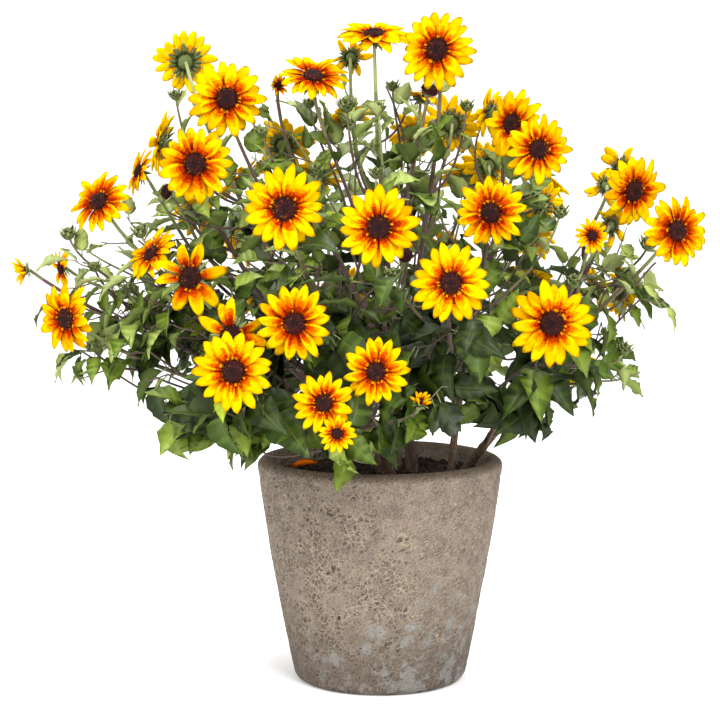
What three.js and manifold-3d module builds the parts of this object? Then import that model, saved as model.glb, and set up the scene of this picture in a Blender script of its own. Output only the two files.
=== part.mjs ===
// A branching sunflower in a tapered cement pot, at its real size in millimetres, +Z up.
// The origin is the middle of the pot's flat underside. -Y is the side with the most blooms, +X is its right.
// Six stems rise out of the soil. Each carries a few boughs, and each bough ends where a mass of twigs,
// leaves and blooms begins. Every mass is one closed body, clear of the other masses and of every limb.
import * as THREE from 'three';
import { mergeVertices } from 'three/addons/utils/BufferGeometryUtils.js';
import Module from 'manifold-3d';

const wasm = await Module();
wasm.setup();
const { Manifold, Mesh: SolidMesh } = wasm;

// Pot and soil
const RIM_RADIUS = 142;
const FOOT_RADIUS = 97.5;
const POT_HEIGHT = 257;
const WALL_BULGE = 3;
const FOOT_ROUNDING = 11;
const WALL = 18;
const FLOOR = 24;
const SOIL_BELOW_RIM = 18;
const POT_SIDES = 36;
const FOOT_STEPS = 2;
const LIP_STEPS = 3;

// Touching pieces keep this much between them
const SEAT_GAP = 0.3;

// Limbs
const STEM_SIDES = 8;
const STEM_STEPS = 5;
const FLARE = 0.55;
const FLARE_SHARE = 0.07;
const STEM_TAPER = 0.28;
const STEM_BENDS = [{ share: 0.25, lift: 0.08 }, { share: 0.7, lift: 0.04 }];
const BOUGH_SIDES = 6;
const BOUGH_STEPS = 3;
const BOUGH_SHARE = 0.2;
const BOUGH_SET_OUT = 0.3;
const BOUGH_RUN_IN = 0.35;
const BRANCHING_ONWARD = 0.5;
const BOUGH_FOOT_RADIUS = 3.6;
const BOUGH_TIP_RADIUS = 2.7;
const TWIG_SIDES = 3;
const TWIG_TIP_RADIUS = 1.5;
const STALK_RADIUS = 1.8;
const SHOOT_RADIUS = 1.4;
const SHOOT_TIP_RADIUS = 1.1;
const ROOT_SHARE = 0.4;
const STALK_SET_OUT = 0.36;
const NECK_LENGTH = 0.3;
const FIRST_STALK = 0.16;
const STALK_SPAN = 0.4;
const FIRST_BUD = 0.3;
const BUD_SPAN = 0.3;
const FIRST_SHOOT = 0.08;
const SHOOT_SPAN = 0.6;
const SHOOT_SINK = 0.3;
const TRIES = 9;
const TRY_STEP = 0.03;
const LAST_ROOT = 0.9;
const BOW = 7;

// The leafy part of each kind of twig, as shares of its length
const LEAFY = { stem: [0.06, 0.72], stalk: [0.15, 0.72], bud: [0.4, 0.85], shoot: [0.15, 1] };

// The leafy shoots under each bloom of a ring
const SHOOTS_PER_BLOOM = 2;
const SHOOT_DROP = 38;
const SHOOT_DROP_RANGE = 34;
const SHOOT_SET_BACK = 34;
const SHOOT_ASIDE = 30;
const RING_DEPTH = 22;
const RING_START = 0.5;

// Leaves, blooms and buds
const LEAF_LENGTH = 118;
const TIP_LEAF_LENGTH = 84;
const LEAF_TRIES = 5;
const LEAF_WIDTH_SHARE = 0.58;
const LEAF_THICKNESS = 2.2;
const LEAF_SPACING = 36;
const LEAF_ROOM = 12;
const LEAF_HANG = 84;
const LEAF_SPREAD = 0.8;
const TIP_LEAF_SPREAD = 0.35;
const LEAF_OUTWARD = 0.4;
const LEAF_ONWARD = 0.3;
const LEAF_LIFT = 0.2;
const LEAF_DROOP = 1.3;
const FACE_UP = 0.3;
const FACE_OUTWARD = 0.9;
const FACE_TURNED = 0.35;
const LEAF_WIDEST = 0.44;
const LEAF_ARCH = 0.1;
const LEAF_TIP_DROP = 0.06;
const TOP_LEAF_SHARE = 0.5;
const LEAF_SIZE = 0.9;
const LEAF_SIZE_RANGE = 0.35;
const SMALLER_EACH_TRY = 0.09;
const GOLDEN_ANGLE = 2.39996;
const HANG_TOP = 620;
const HANG_RANGE = 320;
const BUD_RADIUS = 7;
const CALYX_SIDES = 3;
const BLOOM_DEPTH = 0.06;
const SMALL_BLOOM = 60;
const SMALL_BLOOM_PETALS = 6;
const BLOOM_PETALS = 9;
const DISC_SHARE = 0.3;
const SPENT_DISC_SHARE = 0.8;
const LEAST_DISC = 5;
const OPEN_VALLEY = 0.68;
const CLOSED_VALLEY = 0.58;
const VIEW_DEPTH = 60;
const CROWN_CENTRE = new THREE.Vector3(20, 0, 330);
const UP = new THREE.Vector3(0, 0, 1);

// Clear space between what belongs to different bodies
const CLEARANCE = 4;
const BLADE_ROOM = 3;
const ROOT_ROOM = 9;
const POT_ROOM = 5;
const SOIL_ROOM = 4;
const FACE_ROOM = 2;
const SAMPLE_STEP = 5;
const LIMB_SAMPLES = 30;
const BOUGH_SAMPLES = 24;
const CELL = 24;

// Fused meshes lose the edges that matter less than this
const SMOOTHING = 0.2;

const SOIL_TOP = POT_HEIGHT - SOIL_BELOW_RIM;

// Each stem: where it leaves the soil and where it forks, its radius at the soil and its boughs, the leader
// last. Each bough: how far up its stem it leaves, and its mass: blooms as [right, away, up, across, turn,
// tilt, kind], where turn is degrees from the front towards the right and tilt is degrees up, buds as
// [right, away, up, radius], and leafy shoots as [right, away, up] of their tips. A ring sets the blooms of
// a mass round its heart by rule.
const STEMS = [
  {
    name: 'main_stem', foot: [39, 6], head: [24, 16, 350], radius: 6.5,
    boughs: [
      { name: 'top_left', at: 0.55,
        blooms: [
          [-75, -40, 689, 78, 10, 52, 'open'],
          [-115, -20, 680, 29, 20, 10, 'half'],
          [-110, 20, 614, 70, 170, 20, 'open'],
        ],
        buds: [[-131, -60, 628, 6], [-80, 0, 661, 5]],
        shoots: [[-102, -20, 628], [-147, -10, 642], [-77, -40, 595], [-46, 0, 608]] },
      { name: 'back_top', at: 0.7, ring: { heart: [20, 150, 640], count: 3, spread: 58, across: 78 } },
      { name: 'top_right', at: 0.84,
        blooms: [
          [62, -60, 718, 88, -18, 0, 'open'],
          [54, -40, 674, 25, 30, 48, 'spent'],
          [82, 40, 638, 70, 190, 0, 'open'],
        ],
        buds: [[98, 0, 658, 7]],
        shoots: [[35, -40, 614], [82, 10, 620], [107, 20, 645], [54, -60, 586]] },
      { name: 'top', at: 1,
        blooms: [
          [-33, 25, 714, 50, 170, 15, 'few'],
          [-7, -20, 736, 90, 0, 68, 'open'],
        ],
        buds: [[-38, -30, 658, 9], [-2, -45, 655, 7], [14, 0, 680, 6]],
        shoots: [[-39, 0, 674], [6, -10, 680], [-21, -20, 631], [27, 0, 656]] },
    ],
  },
  {
    name: 'left_stem', foot: [8, -4], head: [-54, -12, 330], radius: 6,
    boughs: [
      { name: 'far_left_low', at: 0.42,
        blooms: [[-347, -80, 423, 80, -35, -5, 'open']],
        buds: [[-322, -60, 390, 7]],
        shoots: [[-336, -60, 386], [-300, -40, 377], [-358, -40, 445], [-254, -90, 387], [-283, -75, 365]] },
      { name: 'far_left', at: 0.57,
        blooms: [
          [-402, -20, 473, 38, -70, -10, 'half'],
          [-365, 10, 474, 48, -60, -5, 'few'],
        ],
        buds: [[-350, -40, 515, 8], [-318, -60, 479, 6]],
        shoots: [[-340, 0, 499], [-312, -10, 448], [-360, 10, 481]] },
      { name: 'left', at: 0.71,
        blooms: [
          [-312, -60, 551, 74, -25, 25, 'open'],
          [-252, -80, 494, 68, -50, 35, 'open'],
        ],
        buds: [[-267, -60, 518, 8], [-283, -60, 454, 6]],
        shoots: [[-294, -40, 501], [-298, -70, 429], [-253, -100, 445], [-273, -60, 470]] },
      { name: 'left_upper', at: 0.86,
        blooms: [
          [-245, -30, 616, 76, -98, 12, 'open'],
          [-273, -5, 584, 58, -65, 20, 'open'],
          [-238, -40, 562, 22, -50, 10, 'spent'],
          [-215, 60, 534, 64, 150, 30, 'open'],
        ],
        shoots: [[-276, 0, 506], [-215, -20, 509], [-203, 40, 534]] },
      { name: 'left_top', at: 1,
        blooms: [
          [-225, 45, 710, 74, -165, 10, 'open'],
          [-170, -60, 664, 86, 6, 10, 'open'],
          [-200, -120, 593, 86, -6, 0, 'open'],
        ],
        buds: [[-232, 0, 670, 6]],
        shoots: [[-138, -20, 631], [-236, -60, 540], [-164, 0, 608]] },
    ],
  },
  {
    name: 'front_stem', foot: [16, -44], head: [-20, -84, 330], radius: 5.6,
    boughs: [
      { name: 'front_low', at: 0.4,
        blooms: [
          [-7, -292, 387, 68, 0, 0, 'open'],
          [-59, -306, 357, 62, 0, 8, 'open'],
          [-46, -312, 327, 40, 5, 15, 'open'],
          [39, -240, 349, 28, 10, 60, 'half'],
        ],
        shoots: [[-131, -110, 279], [-32, -170, 288], [-75, -210, 317], [2, -180, 302], [45, -190, 351]] },
      { name: 'front_low_left', at: 0.55,
        blooms: [
          [-156, -225, 417, 76, 0, 0, 'few'],
          [-149, -300, 388, 82, -5, 8, 'open'],
        ],
        shoots: [
          [-203, -200, 343], [-168, -250, 345], [-145, -220, 323], [-227, -170, 371], [-186, -200, 305],
          [-110, -180, 300],
        ] },
      { name: 'front_left', at: 0.7,
        blooms: [
          [-203, -170, 474, 82, 10, 0, 'few'],
          [-89, -272, 434, 78, 0, -5, 'open'],
        ],
        shoots: [[-157, -150, 453], [-196, -130, 412], [-67, -200, 415], [-139, -180, 398]] },
      { name: 'front_upper', at: 0.85,
        blooms: [
          [-4, -262, 530, 84, 0, 0, 'open'],
          [24, -195, 499, 20, 0, 0, 'spent'],
        ],
        buds: [[-6, -120, 583, 7]],
        shoots: [[-39, -180, 461], [-7, -170, 423], [21, -190, 446], [-53, -160, 396]] },
      { name: 'front_upper_left', at: 1,
        blooms: [[-100, -232, 548, 88, 0, 0, 'open']],
        buds: [[-72, -60, 586, 5]],
        shoots: [[-144, -70, 580], [-86, -90, 556], [-64, -100, 541], [-124, -140, 508], [-63, -170, 484]] },
    ],
  },
  {
    name: 'green_stem', foot: [78, -52], head: [88, -70, 340], radius: 4.6,
    boughs: [
      { name: 'front_right', at: 0.55,
        blooms: [[68, -272, 474, 80, 5, 8, 'open']],
        buds: [[12, -200, 480, 7]],
        shoots: [[73, -170, 384], [95, -150, 400], [117, -170, 423], [52, -200, 405], [58, -120, 340]] },
      { name: 'front_right_upper', at: 0.78,
        blooms: [[115, -165, 542, 76, 0, 0, 'open']],
        buds: [[201, -40, 539, 8]],
        shoots: [[88, -110, 539], [132, -140, 482], [152, -90, 499], [65, -80, 554]] },
      { name: 'right_top', at: 1,
        blooms: [
          [147, -45, 637, 78, -38, 5, 'open'],
          [171, -95, 609, 76, 10, -5, 'open'],
          [125, 20, 651, 60, -120, 10, 'open'],
          [126, 60, 590, 62, 190, 0, 'open'],
          [184, 5, 548, 56, 160, 0, 'open'],
        ],
        shoots: [[189, -20, 547], [134, -40, 536], [114, 20, 631]] },
    ],
  },
  {
    name: 'right_stem', foot: [92, 10], head: [164, 6, 318], radius: 5.4,
    boughs: [
      { name: 'right_low', at: 0.45,
        blooms: [[177, -202, 428, 90, 0, 0, 'open']],
        buds: [[212, -80, 464, 9], [272, -60, 387, 8]],
        shoots: [
          [136, -110, 334], [173, -120, 346], [205, -120, 372], [246, -70, 358], [293, -40, 359],
          [163, -60, 309], [108, -120, 337],
        ] },
      { name: 'back_right_low', at: 0.6, ring: { heart: [225, 165, 410], count: 3, spread: 64, across: 74 } },
      { name: 'far_right', at: 0.8,
        blooms: [
          [324, -85, 520, 82, 25, 5, 'open'],
          [232, -80, 514, 40, 10, 10, 'open'],
          [262, -20, 523, 48, 140, 0, 'few'],
          [282, 35, 447, 64, 120, -10, 'open'],
        ],
        buds: [[300, -40, 504, 9]],
        shoots: [[292, -40, 441], [267, -20, 489], [306, -60, 484], [240, 0, 455]] },
      { name: 'right_upper', at: 1,
        blooms: [
          [283, -35, 563, 84, 30, -10, 'open'],
          [279, 40, 588, 60, 185, 25, 'few'],
          [258, 18, 566, 50, 200, -20, 'few'],
        ],
        shoots: [[252, 10, 526], [228, 20, 510], [208, 30, 568]] },
    ],
  },
  {
    name: 'back_stem', foot: [22, 48], head: [10, 104, 330], radius: 5.8,
    boughs: [
      { name: 'back_low_left', at: 0.45,
        ring: { heart: [-180, 175, 400], count: 3, spread: 64, across: 74 } },
      { name: 'back_middle', at: 0.62, ring: { heart: [20, 262, 445], count: 4, spread: 74, across: 80 } },
      { name: 'back_left', at: 0.82, ring: { heart: [-130, 190, 545], count: 3, spread: 62, across: 80 } },
      { name: 'back_right', at: 1, ring: { heart: [160, 190, 545], count: 3, spread: 60, across: 80 } },
    ],
  },
];

const FINISHES = {
  pot: new THREE.MeshStandardMaterial({ color: 0xa39587, roughness: 0.92, metalness: 0 }),
  soil: new THREE.MeshStandardMaterial({ color: 0x2a1d15, roughness: 1, metalness: 0 }),
  stem: new THREE.MeshStandardMaterial({ color: 0x6b5a44, roughness: 0.7, metalness: 0 }),
  foliage: new THREE.MeshStandardMaterial({ color: 0x5a7a42, roughness: 0.65, metalness: 0 }),
};

// A number from 0 to 1 that is always the same for the same two keys.
function chance(key, turn) {
  const wave = Math.sin(key * 12.9898 + turn * 78.233) * 43758.5453;
  return wave - Math.floor(wave);
}

// A direction mixed from others, each with its share.
function mix(...pairs) {
  return pairs.reduce((sum, [v, share]) => sum.addScaledVector(v, share), new THREE.Vector3()).normalize();
}

function middleOf(points) {
  return points.reduce((sum, p) => sum.add(p), new THREE.Vector3()).divideScalar(points.length);
}

// Two directions square to one and to each other.
function squareTo(along) {
  const reference = Math.abs(along.z) < 0.85 ? UP : new THREE.Vector3(1, 0, 0);
  const side = new THREE.Vector3().crossVectors(along, reference).normalize();
  return [side, new THREE.Vector3().crossVectors(side, along)];
}

// A direction square to another, at an angle round it.
function around(along, angle) {
  const [side, other] = squareTo(along);
  return side.multiplyScalar(Math.cos(angle)).addScaledVector(other, Math.sin(angle));
}

// The way a side limb sets out: square to its parent for a start, and on towards its end.
function branching(rising, chord) {
  const heading = chord.clone().normalize();
  const sideways = heading.clone().addScaledVector(rising, -heading.dot(rising)).normalize();
  return mix([sideways, 1], [heading, BRANCHING_ONWARD]);
}

// The way a bloom faces, from its turn and tilt in degrees.
function facing(turn, tilt) {
  const yaw = THREE.MathUtils.degToRad(turn);
  const pitch = THREE.MathUtils.degToRad(tilt);
  return new THREE.Vector3(
    Math.sin(yaw) * Math.cos(pitch), -Math.cos(yaw) * Math.cos(pitch), Math.sin(pitch));
}

// A geometry as a solid. Seams are merged.
function solidOf(geometry) {
  const bare = geometry.clone();
  bare.deleteAttribute('normal');
  bare.deleteAttribute('uv');
  const merged = mergeVertices(bare, 1e-3);
  return new Manifold(new SolidMesh({
    numProp: 3,
    vertProperties: merged.getAttribute('position').array,
    triVerts: new Uint32Array(merged.index.array),
  }));
}

function geometryOf(solid) {
  const mesh = solid.getMesh();
  const points = new Float32Array(mesh.numVert * 3);
  for (let i = 0; i < mesh.numVert; i++) {
    points.set(mesh.vertProperties.subarray(i * mesh.numProp, i * mesh.numProp + 3), i * 3);
  }
  const geometry = new THREE.BufferGeometry();
  geometry.setAttribute('position', new THREE.BufferAttribute(points, 3));
  geometry.setIndex(new THREE.BufferAttribute(mesh.triVerts, 1));
  return geometry;
}

// Moves each vertex of a geometry to the place that a function gives for it, and makes a solid of it.
function reshaped(geometry, place) {
  const position = geometry.getAttribute('position');
  for (let i = 0; i < position.count; i++) {
    const to = place(position.getX(i), position.getY(i), position.getZ(i));
    position.setXYZ(i, to.x, to.y, to.z);
  }
  return solidOf(geometry);
}

// An arc of profile points between two angles in degrees.
function arc(x, y, radius, from, to, steps) {
  return Array.from({ length: steps + 1 }, (_, i) => {
    const angle = THREE.MathUtils.degToRad(from + ((to - from) * i) / steps);
    return new THREE.Vector2(x + radius * Math.cos(angle), y + radius * Math.sin(angle));
  });
}

// The pot's outer radius at a height: an even slope with a slight bulge.
function potRadius(height) {
  const share = height / POT_HEIGHT;
  return FOOT_RADIUS + (RIM_RADIUS - FOOT_RADIUS) * share + WALL_BULGE * Math.sin(Math.PI * share);
}

// A point of the wall at a height, set in from the outside.
function wallPoint(height, inset = 0) {
  return new THREE.Vector2(potRadius(height) - inset, height);
}

// A profile turned about the vertical axis.
function turned(profile) {
  const geometry = new THREE.LatheGeometry(profile, POT_SIDES);
  geometry.rotateX(Math.PI / 2);
  return solidOf(geometry);
}

function pot() {
  const lip = WALL / 2;
  const shoulder = POT_HEIGHT - lip;
  return turned([
    new THREE.Vector2(0, 0),
    ...arc(potRadius(FOOT_ROUNDING) - FOOT_ROUNDING, FOOT_ROUNDING, FOOT_ROUNDING, -90, -10, FOOT_STEPS),
    wallPoint(POT_HEIGHT * 0.3),
    wallPoint(POT_HEIGHT * 0.65),
    ...arc(potRadius(shoulder) - lip, shoulder, lip, 0, 180, LIP_STEPS),
    wallPoint(SOIL_TOP, WALL),
    wallPoint(FLOOR, WALL),
    new THREE.Vector2(0, FLOOR),
  ]);
}

function soil() {
  return turned([
    new THREE.Vector2(0, FLOOR + SEAT_GAP),
    wallPoint(FLOOR + SEAT_GAP, WALL + 2 * SEAT_GAP),
    wallPoint(SOIL_TOP, WALL + 2 * SEAT_GAP),
    new THREE.Vector2(0, SOIL_TOP),
  ]);
}

// A limb of round section along a curve. Its radius is a function of the share of its length.
function limb(curve, radiusAt, sides, steps) {
  const [reference] = squareTo(curve.getPoint(1).sub(curve.getPoint(0)).normalize());
  return reshaped(new THREE.CylinderGeometry(1, 1, 1, sides, steps), (x, y, z) => {
    const t = THREE.MathUtils.clamp(y + 0.5, 0, 1);
    const along = curve.getTangent(t);
    const side = reference.clone().addScaledVector(along, -reference.dot(along)).normalize();
    const other = new THREE.Vector3().crossVectors(side, along);
    return curve.getPoint(t).addScaledVector(side, x * radiusAt(t)).addScaledVector(other, z * radiusAt(t));
  });
}

function taper(foot, tip) {
  return (t) => foot + (tip - foot) * t;
}

// The radius of a side twig, which starts narrow inside its parent.
function sideTwig(foot, tip) {
  return (t) => (t === 0 ? foot * ROOT_SHARE : foot + (tip - foot) * t);
}

// A stem's radius: the root flare at the soil and then an even taper.
function stemRadius(stem, grown = 0) {
  return (t) => stem.radius * (1 - STEM_TAPER * t) * (1 + FLARE * Math.exp(-t / FLARE_SHARE)) + grown;
}

// A stem's centre line starts just under the soil's surface and sweeps up to its head.
function stemCurve(stem) {
  const foot = new THREE.Vector3(stem.foot[0], stem.foot[1], SOIL_TOP - 2 * stem.radius);
  const head = new THREE.Vector3(...stem.head);
  const rise = head.z - foot.z;
  return new THREE.CubicBezierCurve3(
    foot,
    ...STEM_BENDS.map(({ share, lift }) => foot.clone().lerp(head, share).addScaledVector(UP, lift * rise)),
    head,
  );
}

// Blooms set round a heart, each turned a little away from it.
function ringOfBlooms({ heart, count, spread, across }) {
  const centre = new THREE.Vector3(...heart);
  const outward = centre.clone().sub(CROWN_CENTRE).normalize();
  return Array.from({ length: count }, (_, i) => {
    const ray = around(outward, (i * 2 * Math.PI) / count + RING_START);
    return {
      centre: centre.clone().addScaledVector(ray, spread)
        .addScaledVector(outward, RING_DEPTH * chance(count, i)),
      facing: mix([outward, 1], [ray, 0.5], [UP, 0.15]),
      across,
      kind: 'open',
    };
  });
}

function bloomsOf(bough) {
  if (bough.ring) return ringOfBlooms(bough.ring);
  return bough.blooms.map(([x, y, z, across, turn, tilt, kind]) => (
    { centre: new THREE.Vector3(x, y, z), facing: facing(turn, tilt), across, kind }));
}

// The tips of a mass's leafy shoots: its own list, or a few under each bloom of its ring.
function shootsOf(bough, blooms) {
  if (bough.shoots) return bough.shoots.map((tip) => new THREE.Vector3(...tip));
  return blooms.flatMap((bloom, i) => Array.from({ length: SHOOTS_PER_BLOOM }, (_, n) => bloom.centre.clone()
    .addScaledVector(UP, -SHOOT_DROP - SHOOT_DROP_RANGE * chance(i, n))
    .addScaledVector(bloom.facing, -SHOOT_SET_BACK)
    .addScaledVector(around(UP, 6 * chance(i, 5 + n)), SHOOT_ASIDE)));
}

// Where a bloom's stalk ends, behind its face.
function backOf(bloom) {
  return bloom.centre.clone().addScaledVector(bloom.facing, -BLOOM_DEPTH * bloom.across - 2);
}

// A stalk leaves one way, bows to one side, and bends at the neck into the back of what it carries.
function stalk(from, leaving, to, faces, bow) {
  const length = from.distanceTo(to);
  const chord = to.clone().sub(from).normalize();
  return new THREE.CubicBezierCurve3(
    from,
    from.clone().addScaledVector(leaving, STALK_SET_OUT * length),
    to.clone().addScaledVector(mix([faces, 0.6], [UP, 0.7], [chord, 0.5]), -NECK_LENGTH * length).add(bow),
    to,
  );
}

// A bough leaves its stem at a wide angle and heads for the middle of its blooms. A leader goes on from the
// stem's tip.
function boughCurve(stem, bough, blooms) {
  const line = stemCurve(stem);
  const foot = line.getPoint(bough.at);
  const rising = line.getTangent(bough.at);
  const chord = middleOf(blooms.map((bloom) => bloom.centre)).sub(foot);
  const tip = foot.clone().addScaledVector(chord, BOUGH_SHARE);
  const length = foot.distanceTo(tip);
  const heading = chord.clone().normalize();
  const leads = bough.at === 1;
  const start = leads ? foot.clone().addScaledVector(rising, SEAT_GAP) : foot;
  const leaving = leads ? rising : branching(rising, chord);
  return new THREE.CubicBezierCurve3(
    start,
    start.clone().addScaledVector(leaving, BOUGH_SET_OUT * length),
    tip.clone().addScaledVector(heading, -BOUGH_RUN_IN * length),
    tip,
  );
}

// An eight-faced blade: base, tip, two edges, and a ridge over and under its middle.
function leafSolid(base, along, normal, length) {
  const across = new THREE.Vector3().crossVectors(along, normal);
  const middle = base.clone()
    .addScaledVector(along, LEAF_WIDEST * length).addScaledVector(normal, LEAF_ARCH * length);
  const tip = base.clone().addScaledVector(along, length).addScaledVector(normal, -LEAF_TIP_DROP * length);
  return reshaped(new THREE.OctahedronGeometry(1), (x, y, z) => {
    if (x > 0.5) return tip;
    if (x < -0.5) return base;
    return middle.clone()
      .addScaledVector(normal, (y * LEAF_THICKNESS) / 2)
      .addScaledVector(across, (z * length * LEAF_WIDTH_SHARE) / 2);
  });
}

// A bloom: a three-sided calyx behind, a rim cut into petals, and a disc that stands out in front.
function bloomSolid({ centre, facing: faces, across, kind }) {
  const petals = across < SMALL_BLOOM ? SMALL_BLOOM_PETALS : BLOOM_PETALS;
  const reach = across / 2;
  const disc = kind === 'spent' ? reach * SPENT_DISC_SHARE : Math.max(reach * DISC_SHARE, LEAST_DISC);
  const valley = reach * (kind === 'open' ? OPEN_VALLEY : CLOSED_VALLEY);
  const [side, other] = squareTo(faces);
  const place = (radius, share, height) => {
    const angle = share * 2 * Math.PI;
    return centre.clone().addScaledVector(side, radius * Math.cos(angle))
      .addScaledVector(other, radius * Math.sin(angle)).addScaledVector(faces, height);
  };
  const calyx = (i) => (Math.floor((i * CALYX_SIDES) / petals) % CALYX_SIDES) + 1;
  const points = [place(0, 0, 3 + 0.4 * disc)];
  for (let i = 0; i < CALYX_SIDES; i++) {
    points.push(place(0.35 * disc + 2.5, (i + 0.5) / CALYX_SIDES, -0.1 * across - 2));
  }
  const triangles = [1, 2, 3];
  for (let i = 0; i < petals; i++) {
    const share = i / petals;
    points.push(
      place(reach, share, kind === 'half' ? 7 : 2),
      place(valley, share + 0.5 / petals, 0),
      place(disc, share, 3),
    );
    const tip = 1 + CALYX_SIDES + 3 * i;
    const next = 1 + CALYX_SIDES + 3 * ((i + 1) % petals);
    const [dip, rim, back] = [tip + 1, tip + 2, calyx(i)];
    const nextRim = next + 2;
    triangles.push(back, tip, dip, back, dip, next, rim, dip, tip);
    triangles.push(rim, nextRim, dip, nextRim, next, dip, 0, nextRim, rim);
    if (calyx(i + 1) !== back) triangles.push(back, next, calyx(i + 1));
  }
  const geometry = new THREE.BufferGeometry();
  geometry.setAttribute('position', new THREE.Float32BufferAttribute(points.flatMap((p) => p.toArray()), 3));
  geometry.setIndex(triangles);
  return solidOf(geometry);
}

function budSolid(centre, radius) {
  return reshaped(new THREE.OctahedronGeometry(radius), (x, y, z) => (
    centre.clone().add(new THREE.Vector3(x, y, z))));
}

// Points spread over a solid's faces, closer together than the clearance.
function pointsOn(solid) {
  const mesh = solid.getMesh();
  const corner = (i) => new THREE.Vector3().fromArray(mesh.vertProperties, i * mesh.numProp);
  const points = [];
  for (let f = 0; f < mesh.numTri; f++) {
    const [a, b, c] = [0, 1, 2].map((k) => corner(mesh.triVerts[3 * f + k]));
    const longest = Math.max(a.distanceTo(b), b.distanceTo(c), c.distanceTo(a));
    const steps = Math.max(1, Math.ceil(longest / SAMPLE_STEP));
    for (let i = 0; i <= steps; i++) {
      for (let j = 0; j <= steps - i; j++) {
        points.push(a.clone().multiplyScalar(1 - (i + j) / steps)
          .addScaledVector(b, i / steps).addScaledVector(c, j / steps));
      }
    }
  }
  return points;
}

// What is already taken, as points on a grid, each with the body that owns it.
class Crowd {
  constructor() {
    this.cells = new Map();
  }

  add(points, owner, radius = 0) {
    for (const p of points) {
      const key = [p.x, p.y, p.z].map((value) => Math.floor(value / CELL)).join();
      if (!this.cells.has(key)) this.cells.set(key, []);
      this.cells.get(key).push({ p, radius, owner });
    }
  }

  // True if no point comes near what another body owns.
  isClear(points, owner, room = CLEARANCE) {
    return points.every((p) => {
      const [i, j, k] = [p.x, p.y, p.z].map((value) => Math.floor(value / CELL));
      for (let n = 0; n < 27; n++) {
        const key = [i + (n % 3) - 1, j + (Math.floor(n / 3) % 3) - 1, k + Math.floor(n / 9) - 1].join();
        const near = this.cells.get(key) ?? [];
        if (near.some((b) => b.owner !== owner && b.p.distanceTo(p) < b.radius + room)) return false;
      }
      return true;
    });
  }
}

// True if no point is in the pot's wall, in the soil or below the ground.
function clearOfPot(points) {
  return points.every((p) => {
    const away = Math.hypot(p.x, p.y);
    if (p.z > POT_HEIGHT + SOIL_ROOM) return true;
    const outside = away > potRadius(Math.max(p.z, 0)) + POT_ROOM;
    return outside || (p.z > SOIL_TOP + SOIL_ROOM && away < potRadius(p.z) - WALL - POT_ROOM);
  });
}

// True if no point stands in front of a bloom's face.
function clearOfFaces(points, blooms) {
  return points.every((p) => blooms.every((bloom) => {
    const from = p.clone().sub(bloom.centre);
    const ahead = from.dot(bloom.facing);
    if (ahead < -FACE_ROOM || ahead > VIEW_DEPTH) return true;
    return from.addScaledVector(bloom.facing, -ahead).length() > bloom.across / 2 + FACE_ROOM;
  }));
}

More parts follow.
